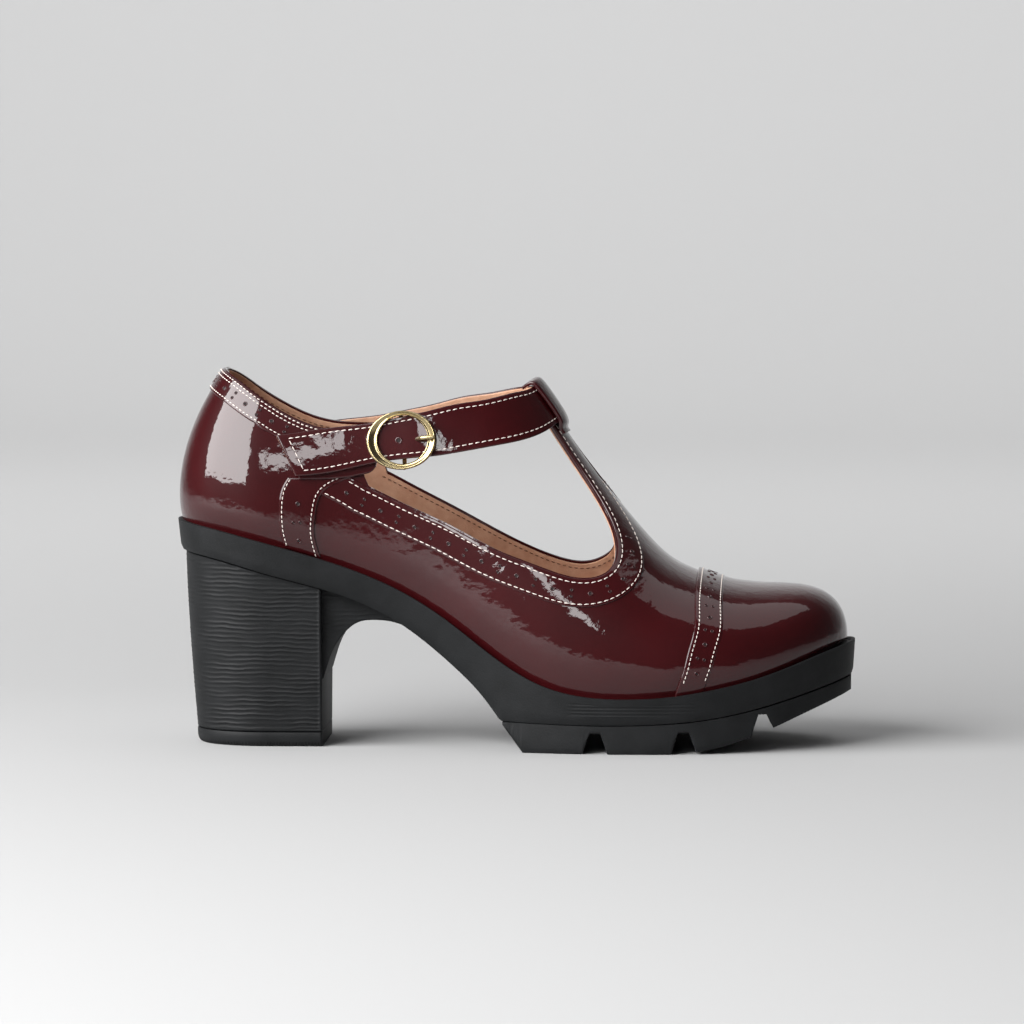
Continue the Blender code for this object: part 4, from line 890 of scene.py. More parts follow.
start = TREAD_START * LENGTH + 0.4 * MM
round_tip = LENGTH - 0.0014 - 0.0106 * (1 - np.sin(np.linspace(0, 1, 70) * math.pi / 2))
x0 = np.concatenate([np.arange(start, LENGTH - 12 * MM, 0.19 * MM), round_tip])
heel_lug = np.clip((x0 - start) / (7.4 * MM), 0, 1)
edge_z = tread_bottom(x0) + (1 - heel_lug) * (parting(start) - 1.3 * MM)
tooth = TOOTH * np.abs(((x0 / TOOTH_PITCH) % 1) * 2 - 1) * (heel_lug >= 1)
upper_z = parting(x0) - GAP
share = np.array([0.0, 0.12, 0.2, 0.45, 0.7, 0.97, 1.0])
height = edge_z[:, None] + (upper_z - edge_z)[:, None] * share
height[:, 0] += tooth
inset = np.array([1.6, 0.5, 0.12, 0.0, 0.0, 0.0, 0.0, 0.25]) * MM
insets = BAND_DRAFT + TREAD_SET_IN + np.broadcast_to(inset, (len(x0), len(inset)))
ribbed = ease((x0 / LENGTH - 0.48) / 0.01) * (1 - ease((x0 / LENGTH - 0.60) / 0.01))
insets[:, 3:6] -= rib(height[:, 2:5], TREAD_RIB) * ribbed[:, None]
heights = np.concatenate([edge_z[:, None], height], 1)
u = u_at(x0, LENGTH - TREAD_SET_IN)
half_rings = []
for side in (-1, 1):
    _, y = plan(u[:, None], side, 0, insets, TREAD_SET_IN)
    half_rings.append(np.stack([x0[:, None] + 0 * y, y, heights], -1))
tread = ring_solid("tread_rubber", whole_rings(*half_rings), RUBBER, smooth=28)
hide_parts("tread")

# %% [markdown]
# ## Heel
# The block is a closed outline carried from the top lift up to the rim band: round at the back, flat in
# front. Its wavy grain is worked out from a phase that climbs with height and is bent by a few slow
# sine waves, which makes the lines run together and part as moulded bark does.

# %% Heel block
HEEL_SET_IN, HEEL_TAPER, HEEL_FRONT, LIFT_HEIGHT, GUSSET_SET_IN = 0.0016, 0.0040, 0.0540, 0.0052, 0.0040
BREAST_ROWS = (
    (0.2210, 0.300), (0.2320, 0.408), (0.2460, 0.485), (0.2660, 0.544), (0.2950, 0.563), (0.3200, 0.556),
    (0.3400, 0.538))
GRAIN_PITCH, GRAIN_DEPTH = 1.65 * MM, 0.34 * MM
HEEL_HALF_WIDTH = float(half_width(np.asarray(HEEL_CENTRE), -1)) - BAND_DRAFT - HEEL_SET_IN


def heel_outline(count_back, count_side):
    """Shares of the half outline: 0 to 1 round the back, then 1 to 2 along the side to the front."""
    return np.concatenate([np.linspace(0.02, 1, count_back), 1 + np.linspace(0, 1, count_side)[1:]])


def heel_point(share, taper, corner=0.9 * MM):
    """Half outline: superellipse round the back, straight sides, and a corner of the given radius."""
    angle = np.clip(share, 0, 1) * math.pi / 2
    back = BAND_DRAFT + HEEL_SET_IN + taper
    width = HEEL_HALF_WIDTH - 1.1 * taper
    x = HEEL_CENTRE - (HEEL_CENTRE - back) * np.cos(angle) ** (2 / HEEL_POWER)
    x = np.where(share > 1, HEEL_CENTRE + (HEEL_FRONT - HEEL_CENTRE) * (share - 1), x)
    y = width * np.sin(angle) ** (2 / HEEL_POWER) - np.where(share > 1, 0.0006 * (share - 1), 0)
    short = np.clip((x - (HEEL_FRONT - corner)) / corner, 0, 1)
    return x, y - corner * (1 - np.sqrt(1 - short ** 2))


def grain(along, height):
    """Wavy moulded grain: a sharpened cosine of height / pitch plus slow bends in both directions."""
    bend = 0.55 * np.sin(along * 95 + height * 60) + 0.4 * np.sin(along * 210 - height * 130 + 1.3)
    bend += 0.3 * np.sin(along * 420 + height * 340 + 0.7) + 0.22 * np.sin(along * 900 - height * 700)
    phase = 2 * math.pi * height / GRAIN_PITCH + 1.5 * bend
    depth = 0.55 + 0.45 * np.sin(along * 160 + height * 420 + 2.0) * np.sin(height * 800 + 1.0)
    return depth * (0.5 + 0.5 * np.cos(phase)) ** 2.2


def capped(name, ring):
    """Rubber piece from rings, with its open bottom and top filled."""
    piece = make_piece(name, ring, grid_faces(*ring.shape[:2], wrap_columns=True), RUBBER)
    caps = bmesh.new()
    caps.from_mesh(piece.data)
    bmesh.ops.holes_fill(caps, edges=[e for e in caps.edges if e.is_boundary])
    bmesh.ops.recalc_face_normals(caps, faces=caps.faces)
    caps.to_mesh(piece.data)
    caps.free()
    return piece


share = heel_outline(60, 110)
rows = np.concatenate([[0, 0.004], np.linspace(0.01, 0.985, 250), [0.996, 1.0]])
taper = HEEL_TAPER * (1 - rows) ** 1.4
x, y = heel_point(share[None, :], taper[:, None])
roof = underside(x) - GAP
z = LIFT_HEIGHT + GAP + (roof - LIFT_HEIGHT - GAP) * rows[:, None]
fade = np.clip(np.minimum(rows, 1 - rows) / 0.02, 0, 1)[:, None] * (0.35 + 0.65 * ease((x - 0.006) / 0.012))
fade = fade * (1 - ease((x - (HEEL_FRONT - 1.6 * MM)) / (1.0 * MM)))
relief = GRAIN_DEPTH * (grain(x, z) - 1.0) * fade
corner_in = 0.35 * MM * (1 - np.clip(np.minimum(rows, 1 - rows) / 0.006, 0, 1))[:, None]
y_side = np.maximum(y + (relief - corner_in) * ease((share - 0.1) / 0.4), 0)
x_side = x - (relief - corner_in) * (1 - ease((share - 0.3) / 0.5))
half_rings = [np.stack([x_side, s * y_side, z], -1) for s in (-1, 1)]
ring = np.concatenate([half_rings[0][:, ::-1], half_rings[1]], 1)
heel = capped("heel_block_rubber", ring)
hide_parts("heel_block")

# %% Gusset in front of the block, and the top lift
gusset_x = np.linspace(HEEL_FRONT - 0.5 * MM, 0.338 * LENGTH, 90)
bottom = SEAT_HEIGHT * spline(BREAST_ROWS, 1, np.maximum(gusset_x / LENGTH, BREAST_ROWS[0][0]))
roof = np.maximum(underside(gusset_x) + 0.5 * MM, bottom + 0.4 * MM)
half = np.minimum(HEEL_HALF_WIDTH + 1.6 * MM, half_width(gusset_x, 1) - WAIST_DRAFT) - GUSSET_SET_IN
rows = np.linspace(0, 1, 110)
z = bottom[:, None] + (roof - bottom)[:, None] * rows
relief = 0.6 * GRAIN_DEPTH * (grain(gusset_x[:, None], z) - 1) * np.clip(rows / 0.04, 0, 1)
edge_in = 0.8 * MM * (1 - np.sqrt(1 - (1 - np.clip((z - bottom[:, None]) / (0.8 * MM), 0, 1)) ** 2))
half_rings = [np.stack([gusset_x[:, None] + 0 * z, s * (half[:, None] + relief - edge_in), z], -1)
              for s in (-1, 1)]
gusset = ring_solid("heel_gusset_rubber", whole_rings(*half_rings), RUBBER)

share = heel_outline(160, 130)
rows = np.array([0.0, 0.04, 0.10, 0.18, 0.30, 0.45, 0.65, 0.92, 0.985, 1.0])
inset = np.array([1.6, 1.15, 0.8, 0.5, 0.25, 0.08, 0.0, 0.0, 0.15, 0.4]) * MM
x, y = heel_point(share[None, :], (HEEL_TAPER + inset)[:, None])
run = np.concatenate([[0], np.cumsum(np.hypot(np.diff(x[6]), np.diff(y[6])))])
tooth = TOOTH * (np.abs((run / TOOTH_PITCH % 1) * 2 - 1) > 0.5)
z = LIFT_HEIGHT * rows[:, None] + 0 * x
y = y - tooth[None, :] * (rows < 0.2)[:, None] * ease((share - 0.25) / 0.4)
x = x + tooth[None, :] * (rows < 0.2)[:, None] * (1 - ease((share - 0.2) / 0.5))
ring = np.concatenate([np.stack([x, -y, z], -1)[:, ::-1], np.stack([x, y, z], -1)], 1)
lift = capped("top_lift_rubber", ring)
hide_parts("top_lift")

# %% [markdown]
# ## The insole
# A thin padded sock of the same tan leather lies on the board inside. It shows through the side
# openings, so it gets a soft rounded edge and a slight crown.

# %% Insole
u = np.concatenate([np.linspace(0.05, 1, 24), 1 + np.linspace(0, 1, 90)[1:-1], [1.985]])[:, None]
across = np.linspace(-1, 1, 31)[None, :]
side = np.where(across < 0, -1.0, 1.0)
inset = FEATHER_SIDE + 1.8 * MM + 0.5 * MM
edges = [plan(u, s, FEATHER_BACK + 2.4 * MM, inset, FEATHER_TOE + 6.3 * MM) for s in (-1, 1)]
x = edges[0][0] + 0 * across
y = edges[0][1] + (edges[1][1] - edges[0][1]) * (across + 1) / 2
crown = 2.5 * MM + 0.6 * MM * (1 - across ** 2) - 0.9 * MM * np.abs(across) ** 12
top = np.stack([x, y, rim(x) + crown], -1)
bottom = np.stack([x, y, rim(x) + 0.4 * MM + 0 * y], -1)
insole = leaf("insole_sock", top, bottom, LINING)
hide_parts("insole")

# %% [markdown]
# ## The ankle strap
# The strap is a band between two lines on the last. It starts at its slanted free end over the outer
# quarter, rides over the buckle's tab, crosses the front under the loop and ends on the inner quarter.
# It is two leaves, patent leather outside and tan lining inside, each rounded at its cut edges.

# %% Strap lines
STRAP_LOW = ((0.183, 0.338), (0.237, 0.368), (0.300, 0.418), (0.345, 0.455), (0.387, 0.502), (0.433, 0.582),
             (0.484, 0.698), (0.525, 0.821), (0.545, 0.904), (0.563, 1.000))
STRAP_TOP = ((0.154, 0.507), (0.221, 0.541), (0.289, 0.556), (0.330, 0.583), (0.372, 0.628), (0.415, 0.700),
             (0.460, 0.790), (0.500, 0.900), (0.517, 0.956), (0.527, 1.000))
STRAP_THICK, TAB_THICK, SEAT_GAP = 0.0018, 0.0014, 0.0004
STRAP_INNER_END, STRAP_LEAN = 0.215, 0.030


def strap_line(rows, inner_end, count=150):
    """One edge of the strap, from its free end over the ridge to the inner end."""
    run = np.sin(np.linspace(0, 1, count) * math.pi / 2)
    front, parts = rows[-1][0], []
    for side, start in ((-1, rows[0][0]), (1, inner_end)):
        place = start + (front - start) * run
        share = np.minimum(spline(rows, 1, place), 0.99999)
        parts.append(line_at(place, share, side))
    return tuple(np.concatenate([a, b[-2::-1]]) for a, b in zip(*parts))


def signed_v(line):
    """One number that runs over the ridge: v on the outer side, 2 - v on the inner side."""
    return np.where(line[1] < 0, line[2], 2 - line[2])


def strap_lift(u, side):
    """Height of the strap's underside: on the outer side it is lifted by the tab under it."""
    x = HEEL_CENTRE + (TIP - HEEL_CENTRE) * np.sin((u - 1) * math.pi / 2)
    lift = np.where(side < 0, TAB_THICK + GAP, 0.0)
    return SEAT_GAP + lift * (1 - ease((x / LENGTH - 0.345) / 0.10))


LOW_LINE = strap_line(STRAP_LOW, STRAP_INNER_END)
TOP_LINE = strap_line(STRAP_TOP, STRAP_INNER_END - STRAP_LEAN)


def strap_points(along, across, height):
    """Points of the strap for arrays of shares along and across it and heights over its underside."""
    index = np.arange(len(LOW_LINE[0]))
    at = along * (len(index) - 1)
    low_u, top_u = np.interp(at, index, LOW_LINE[0]), np.interp(at, index, TOP_LINE[0])
    low_v, top_v = np.interp(at, index, signed_v(LOW_LINE)), np.interp(at, index, signed_v(TOP_LINE))
    u, v = low_u + (top_u - low_u) * across, low_v + (top_v - low_v) * across
    side = np.where(v < 1, -1.0, 1.0)
    v = np.where(v < 1, v, 2 - v)
    return last(u, side, v, strap_lift(u, side) + height)


along, rise_a = steps(0.180, 420, 0.5 * MM)
across, rise_b = steps(0.0165, 15, 0.5 * MM)
rise = np.minimum(rise_a[:, None], rise_b[None, :])
a, b = along[:, None] + 0 * rise, across[None, :] + 0 * rise
SPLIT = 0.6 * MM
middle = (STRAP_THICK + SPLIT) / 2
leather_half = (STRAP_THICK - SPLIT) / 2 * (0.4 + 0.6 * rise)
leather_sheets = [strap_points(a, b, middle + sign * leather_half) for sign in (1, -1)]
strap = leaf("ankle_strap_patent", *leather_sheets, PATENT)
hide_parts("ankle_strap")
inset_b = 0.018 + 0.964 * b
lining_top = strap_points(a, inset_b, SPLIT + 0.02 * MM + 0 * a)
lining_bottom = strap_points(a, inset_b, 0.25 * SPLIT * (1 - rise))
strap_lining = leaf("ankle_strap_lining", lining_top, lining_bottom, LINING)

# %% [markdown]
# ## The loop on the T-strap
# The loop goes from the T-strap's face over the ankle strap and folds down behind both. It is a profile
# of distance along the ridge and height over it, carried across the shoe.

# %% Loop
LOOP_THICK, LOOP_HALF_WIDTH = 0.0013, 0.0086
CORNER_CUT = 0.245


def round_path(points, times=3):
    """Chaikin's rule: cut each corner of a path at a share of its legs, a few times over."""
    path = np.asarray(points, float)
    for _ in range(times):
        step = (path[1:] - path[:-1]) * CORNER_CUT
        cut = np.stack([path[:-1] + step, path[1:] - step], 1).reshape(-1, path.shape[-1])
        path = np.concatenate([path[:1], cut, path[-1:]])
    return path


top_x, low_x = STRAP_TOP[-1][0] * LENGTH, STRAP_LOW[-1][0] * LENGTH
slope_ends = [float(ridge(np.asarray((top_x + low_x) / 2 + step))) for step in (MM, -MM)]
slope = (slope_ends[0] - slope_ends[1]) / (2 * MM)
stretch = math.hypot(1, slope)
run = (low_x - top_x) * stretch
over = SEAT_GAP + STRAP_THICK + GAP + 0.1 * MM
path = round_path([
    (run + 5.0 * MM, SEAT_GAP), (run + 2.6 * MM, SEAT_GAP), (run + 0.8 * MM, over),
    (run * 0.5, over + 0.2 * MM), (-0.4 * MM, over), (-1.0 * MM, over - 0.6 * MM),
    (-1.4 * MM, 0.6 * MM), (-1.4 * MM, -1.8 * MM)])
step = np.gradient(path, axis=0)
normal = unit(np.stack([step[:, 1], -step[:, 0]], -1))
edge_x = np.linspace(STRAP_TOP[-4][0], STRAP_TOP[-1][0], 60) * LENGTH
edge_u, edge_share = u_at(edge_x, TIP), np.minimum(spline(STRAP_TOP, 1, edge_x / LENGTH), 0.99999)
edge_y = np.abs(last(edge_u, -1.0, v_at(edge_u, -1.0, edge_share))[:, 1])
y_share, rise_y = steps(2 * LOOP_HALF_WIDTH, 27, 0.5 * MM)
y = (2 * y_share - 1) * LOOP_HALF_WIDTH
shift = np.interp(np.abs(y), edge_y[::-1], edge_x[::-1])


def loop_sheet(line):
    """Grid of the loop: the path's distance along the ridge becomes x, its height an offset."""
    x = shift[None, :] + line[:, 0][:, None] / stretch
    side = np.where(y <= 0, -1.0, 1.0)[None, :] + 0 * x
    u = u_at(x, TIP)
    target = np.abs(y)[None, :] + 1e-6
    v = solve_v(u, side, lambda p: target - np.abs(p[..., 1] - swing(p[..., 0])))
    return last(u, side, v, line[:, 1][:, None] + 0 * x)


inner_sheet = loop_sheet(path)
outer_full = loop_sheet(path + LOOP_THICK * normal)
outer_sheet = inner_sheet + (outer_full - inner_sheet) * (0.45 + 0.55 * rise_y)[None, :, None]
loop = leaf("t_loop_patent", outer_sheet, inner_sheet, PATENT)
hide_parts("t_loop")
strap_width = np.linalg.norm(strap_points(0.3, 0.0, 0.0) - strap_points(0.3, 1.0, 0.0))
print(f"loop {2 * LOOP_HALF_WIDTH * 1000:.1f} mm wide over a strap {strap_width * 1000:.1f} mm wide")

# %% [markdown]
# ## The buckle
# An old-gold oval frame lies over the strap. Its section has a rounded outer lip, a hollow channel and a
# fine inner lip, carried round from an outer oval to an inner one. A bar behind the strap holds it, and
# the prong comes through the strap and rests on the frame.

# %% Buckle axes
BUCKLE_PLACE, BUCKLE_LONG, BUCKLE_TALL, SIDE_BAR, END_BAR = 0.0833, 0.0255, 0.0212, 0.0037, 0.0018
BAR_RADIUS, EYE_RADIUS, PRONG_RADIUS, HOLE_PLACE = 0.0008, 0.0019, 0.0008, 0.0056
box_low, box_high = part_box("buckle_frame")
share_low = float(spline(STRAP_LOW, 1, BUCKLE_PLACE / LENGTH))
share_top = float(spline(STRAP_TOP, 1, BUCKLE_PLACE / LENGTH))
u_buckle = u_at(np.asarray(BUCKLE_PLACE), TIP)
v_buckle = (v_at(u_buckle, -1.0, share_low) + v_at(u_buckle, -1.0, share_top)) / 2
face = float(strap_lift(u_buckle, -1.0)) + STRAP_THICK
centre = last(u_buckle, -1.0, v_buckle, face)
ahead_u = u_at(np.asarray(BUCKLE_PLACE + 6 * MM), TIP)
before, after = (float(spline(STRAP_LOW, 1, BUCKLE_PLACE / LENGTH + step)) for step in (-0.04, 0.04))
rise = (after - before) / 0.08
ahead_v = v_at(ahead_u, -1.0, (share_low + share_top) / 2 + rise * 6 * MM / LENGTH)
AXIS_ALONG = unit(last(ahead_u, -1.0, ahead_v, face) - centre)
out = last(u_buckle, -1.0, v_buckle, face + 10 * MM) - centre
AXIS_OUT = unit(out - AXIS_ALONG * (out * AXIS_ALONG).sum())
AXIS_UP = np.cross(AXIS_OUT, AXIS_ALONG)
AXIS_UP = AXIS_UP * np.sign(AXIS_UP[2])
origin = centre + 0.3 * MM * AXIS_ALONG - 1.1 * MM * AXIS_UP
box_middle = np.array((box_low + box_high) / 2)
print("buckle at", np.round((origin + (BACK, 0, 0)) * 1000, 1), "solid at", np.round(box_middle * 1000, 1))


def buckle_point(a, b, n):
    """Point at a along the strap, b up across it and n out from its face."""
    a, b, n = np.broadcast_arrays(*(np.asarray(k, float) for k in (a, b, n)))
    return origin + a[..., None] * AXIS_ALONG + b[..., None] * AXIS_UP + n[..., None] * AXIS_OUT


# %% Frame, bar and prong
turn = np.linspace(0, 2 * math.pi, 144, endpoint=False)[:, None]
SECTION = np.array([  # share from the inner to the outer edge, height in mm
    (0.00, 0.10), (0.00, 1.10), (0.03, 1.38), (0.09, 1.48), (0.16, 1.40), (0.22, 1.22), (0.34, 1.26),
    (0.48, 1.48), (0.62, 1.76), (0.72, 1.95), (0.82, 2.02), (0.91, 1.88), (0.97, 1.50), (1.00, 0.90),
    (0.97, 0.35), (0.90, 0.10)])
outer_a, outer_b = BUCKLE_LONG / 2 * np.cos(turn), BUCKLE_TALL / 2 * np.sin(turn)
inner_a, inner_b = (BUCKLE_LONG / 2 - SIDE_BAR) * np.cos(turn), (BUCKLE_TALL / 2 - END_BAR) * np.sin(turn)
k, n = SECTION[:, 0][None, :], SECTION[:, 1][None, :] * MM
along = inner_a + 0.5 * MM + (outer_a - inner_a - 0.5 * MM) * k
up = inner_b + (outer_b - inner_b) * k + 0.2 * MM * (1 - k)
frame_points = buckle_point(along, up, n + GAP * 0.5)
frame_faces = grid_faces(len(turn), len(SECTION), True, True)
buckle_frame = make_piece("buckle_frame_gold", frame_points, frame_faces, GOLD, smooth=60)
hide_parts("buckle_frame")


def tube(name, path, radius, sides=16):
    """Gold tube along points: each ring lies square to the path, and both ends close to a point."""
    path = buckle_point(*path.T)
    tangent = unit(np.gradient(path, axis=0))
    first = unit(np.cross(tangent, AXIS_UP))
    second = np.cross(first, tangent)
    radius = np.broadcast_to(np.asarray(radius, float), len(path))[:, None, None]
    roll = np.linspace(0, 2 * math.pi, sides, endpoint=False)[None, :, None]
    rings = path[:, None] + radius * (np.cos(roll) * first[:, None] + np.sin(roll) * second[:, None])
    ends = path[[0, -1]][:, None] + 0 * rings[:1]
    rings = np.concatenate([ends[:1], rings, ends[1:]])
    return make_piece(name, rings, grid_faces(*rings.shape[:2], wrap_columns=True), GOLD)


bar_out = -(STRAP_THICK + GAP + EYE_RADIUS)
post = BUCKLE_TALL / 2 - END_BAR / 2
bar_path = round_path([(0, post, 1.2 * MM), (0, post, bar_out), (0, -post, bar_out), (0, -post, 1.2 * MM)])
bar = tube("buckle_bar_gold", bar_path, BAR_RADIUS)

rest = GAP + 2.0 * MM + 0.3 * MM + PRONG_RADIUS
start = -(STRAP_THICK + GAP + PRONG_RADIUS)
prong_path = round_path([
    (BAR_RADIUS + 0.9 * MM, 0, bar_out + 0.4 * MM), (3.0 * MM, 0, start), (HOLE_PLACE - 1.2 * MM, 0, start),
    (HOLE_PLACE + 1.2 * MM, 0, rest - 1.4 * MM), (HOLE_PLACE + 2.6 * MM, 0, rest),
    (BUCKLE_LONG / 2 - 0.6 * MM, 0, rest)])
prong_radius = PRONG_RADIUS * (1.05 - 0.25 * np.linspace(0, 1, len(prong_path)) ** 3)
prong = tube("buckle_prong_gold", prong_path, prong_radius)
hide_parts("buckle_prong")
hook_turn = np.linspace(0, 2 * math.pi, 40, endpoint=False)[:, None]
hook_roll = np.linspace(0, 2 * math.pi, 12, endpoint=False)[None, :]
hook_radius = 1.4 * MM + 0.45 * MM * np.cos(hook_roll)
hook_out = bar_out + hook_radius * np.sin(hook_turn)
hook_points = buckle_point(hook_radius * np.cos(hook_turn), 0.85 * MM * np.sin(hook_roll), hook_out)
hook = make_piece("buckle_prong_hook", hook_points, grid_faces(40, 12, True, True), GOLD)

# %% [markdown]
# ## The tab under the strap
# The outer quarter runs forward in a short tongue that folds round the buckle's bar. It shows below the
# strap as a dark edge.

# %% Tab
TAB_START, TAB_NOSE = 0.183, 0.282
tab_along, rise_a = steps(0.033, 60, 0.5 * MM)
tab_across, rise_b = steps(0.019, 13, 0.5 * MM)
tab_x = (TAB_START + (BUCKLE_PLACE / LENGTH - TAB_START - 0.004) * tab_along) * LENGTH
past = np.clip((tab_x / LENGTH - TAB_NOSE) / 0.0155, 0, 1)
droop = (0.028 + 0.016 * ease((tab_x / LENGTH - TAB_START) / 0.08)) * np.sqrt(1 - past ** 2)
ends = []
for rows, shift_x, lower in ((STRAP_LOW, 1.5 * MM, droop), (STRAP_TOP, -1.5 * MM, 0 * droop)):
    u = u_at(tab_x + shift_x, TIP)
    ends.append((u, v_at(u, -1.0, spline(rows, 1, (tab_x + shift_x) / LENGTH) - lower)))
k = 0.06 + 0.88 * tab_across
u = ends[0][0][:, None] * (1 - k) + ends[1][0][:, None] * k
v = ends[0][1][:, None] * (1 - k) + ends[1][1][:, None] * k
rise = 0.4 + 0.6 * np.minimum(rise_a[:, None], rise_b[None, :])
tab_top = last(u, -1.0, v, SEAT_GAP + TAB_THICK * (0.5 + 0.5 * rise))
tab = leaf("buckle_tab_patent", tab_top, last(u, -1.0, v, SEAT_GAP + TAB_THICK * (0.5 - 0.5 * rise)), PATENT)
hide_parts("buckle_tab")
eye_turn = np.linspace(0, 2 * math.pi, 36, endpoint=False)[:, None]
eye_across = np.linspace(0, 1, 9)[None, :]
eye_half = BUCKLE_TALL / 2 - END_BAR - 2.9 * MM
for sign in (-1, 1):
    b = sign * (1.4 * MM + (eye_half - 1.4 * MM) * eye_across)
    radius = EYE_RADIUS - 0.25 * MM * (np.abs(2 * eye_across - 1) ** 8)
    shell = [buckle_point(r * np.cos(eye_turn), b, bar_out + r * np.sin(eye_turn))
             for r in (radius, 0.95 * MM + 0 * radius)]
    ring = np.concatenate([shell[0], shell[1][:, ::-1]], 1)
    eye = make_piece(f"tab_eye_{'low' if sign < 0 else 'high'}", ring, grid_faces(36, 18, True, True), PATENT)

# %% [markdown]
# ## Stitches and punched holes
# Each stitch is a short plump thread pulled into the leather at both ends. One small shape is copied
# along every line at an even pitch, turned to the line's direction and the leather's normal. Punched
# holes go the same way: a dark round, painted shade for the inside of the hole, with a raised ring of
# leather round it.

# %% Copy a small shape along lines
def read_line(line, pitch, offset, phase=0.5):
    """Points, directions and normals on a line of the last, one every pitch."""
    points = last(*line, offset)
    normals = last_normal(*line)
    return read_points(points, normals, pitch, phase)


def read_points(points, normals, pitch, phase=0.5):
    """The same for a line that is given by its points and normals."""
    run = np.concatenate([[0], np.cumsum(np.linalg.norm(np.diff(points, axis=0), axis=1))])
    at = np.arange(phase * pitch, run[-1] - 0.4 * pitch, pitch)
    pick = lambda values, where: np.stack([np.interp(where, run, values[:, c]) for c in range(3)], -1)
    ahead, behind = pick(points, at + 0.3 * pitch), pick(points, at - 0.3 * pitch)
    return pick(points, at), unit(ahead - behind), unit(pick(normals, at))


def copies(name, shape, faces, places, mat):
    """All copies of a shape as one mesh: point = place + x * direction + y * across + z * normal."""
    at, along, normal = (np.concatenate([p[i] for p in places]) for i in range(3))
    across = unit(np.cross(normal, along))
    normal = np.cross(along, across)
    x, y, z = (shape[None, :, c:c + 1] for c in range(3))
    points = at[:, None] + x * along[:, None] + y * across[:, None] + z * normal[:, None]
    every = (faces[None] + (np.arange(len(at)) * len(shape))[:, None, None]).reshape(-1, faces.shape[1])
    piece = make_piece(name, points, every, mat, smooth=70, merge=1e-7)
    print(f"{name}: {len(at)} copies")
    return piece


STITCH_LONG, STITCH_WIDE, STITCH_PITCH = 1.85 * MM, 0.37 * MM, 2.4 * MM
SHORT_LONG, SHORT_PITCH = 1.25 * MM, 1.7 * MM


def stitch_shape(long=STITCH_LONG, wide=STITCH_WIDE):
    """Grid of a plump thread: an ellipse's width along its length, dipping at both ends, slightly slanted."""
    t = np.linspace(-1, 1, 7)[:, None]
    roll = np.linspace(0, 2 * math.pi, 6, endpoint=False)[None, :]
    radius = wide / 2 * np.sqrt(np.maximum(1 - np.abs(t) ** 3, 0.0025))
    dip = -0.16 * MM * np.abs(t) ** 2.5
    aside = radius * np.cos(roll) + 0.09 * t * wide
    up = 0.75 * radius * np.sin(roll) + dip + 0.12 * MM
    shape = np.stack([t * long / 2 + 0 * roll, aside, up], -1)
    return shape.reshape(-1, 3), grid_faces(7, 6, wrap_columns=True)


PUNCH_SMALL, PUNCH_LARGE, STRAP_HOLE = 0.42 * MM, 0.58 * MM, 0.85 * MM
# Profile of the flat disc painted dark as the shade inside a hole; the ring round it is leather.
HOLE_SHADE_DISC = [(0.02, 0.05), (0.98, 0.05)]  # share of the radius, height in mm
HOLE_RING = [(0.85, -0.2), (0.88, 0.08), (1.02, 0.20), (1.25, 0.24), (1.50, 0.14), (1.7, -0.2)]


def punch_shape(radius, profile):
    """Disc painted dark as the shade inside a hole, or the ring of leather round it, as circles of rising and
    falling height.
    """
    radii, heights = np.array(profile).T
    turn = np.linspace(0, 2 * math.pi, 14, endpoint=False)
    r, h = radii[:, None] * radius, heights[:, None] * MM
    shape = np.stack([r * np.cos(turn), r * np.sin(turn), h + 0 * turn], -1)
    return shape.reshape(-1, 3), grid_faces(len(profile), 14, wrap_columns=True)


# %% Stitch rows
cream, short, brown = [], [], []
for distance in (1.3 * MM, 2.7 * MM, 8.2 * MM):
    short.append(read_line(walk(COLLAR_LINE, distance, 1.0), SHORT_PITCH, STRIP_HEIGHT))
brown.append(read_line(walk(COLLAR_LINE, 2.6 * MM, 1.0), 2.2 * MM, -1.8 * MM))
for side in (-1, 1):
    cream.append(read_line(walk(vamp_line(side, 0.264), 2.1 * MM, side), STITCH_PITCH, 0.5 * MM))
    lower_row = walk(cut_line(vamp_line(side, 0.242), 0.0, 0.88), 9.9 * MM, side)
    cream.append(read_line(lower_row, STITCH_PITCH, 0.5 * MM))
    brown.append(read_line(walk(THROAT_LINE[side], 2.4 * MM, side), 2.2 * MM, -1.8 * MM))
    front, rear = table_line(QUARTER_FRONT, side, 0.01, 0.374), table_line(QUARTER_REAR, side, 0.01, 0.33)
    short.append(read_line(walk(front, -1.4 * MM, side), SHORT_PITCH, STRIP_HEIGHT))
    short.append(read_line(walk(rear, 1.1 * MM, side), SHORT_PITCH, STRIP_HEIGHT))
cap_top = CAP_HEIGHT * 0.6 + 0.6 * MM
for distance in (1.5 * MM, CAP_STRIP - 1.1 * MM):
    short.append(read_line(tuple(a[12:-12] for a in cap_line(distance, 240)), SHORT_PITCH, cap_top))


def strap_row(along, across):
    """Stitches on the strap's face along a line of shares along and across it."""
    points = strap_points(along, across, STRAP_THICK)
    over = strap_points(along, across, STRAP_THICK + 1 * MM)
    return read_points(points, unit(over - points), STITCH_PITCH)


lengthwise, crosswise = np.linspace(0.012, 0.985, 400), np.linspace(0.13, 0.87, 60)
cream += [strap_row(lengthwise, edge + 0 * lengthwise) for edge in (0.115, 0.885)]
cream += [strap_row(end + 0 * crosswise, crosswise) for end in (0.013, 0.985)]
copies("long_stitches", *stitch_shape(), cream, THREAD)
copies("short_stitches", *stitch_shape(SHORT_LONG), short, THREAD)
copies("lining_stitches", *stitch_shape(1.5 * MM, 0.4 * MM), [(p, t, -n) for p, t, n in brown], BROWN_THREAD)

# %% Punched holes
large, small = [], []


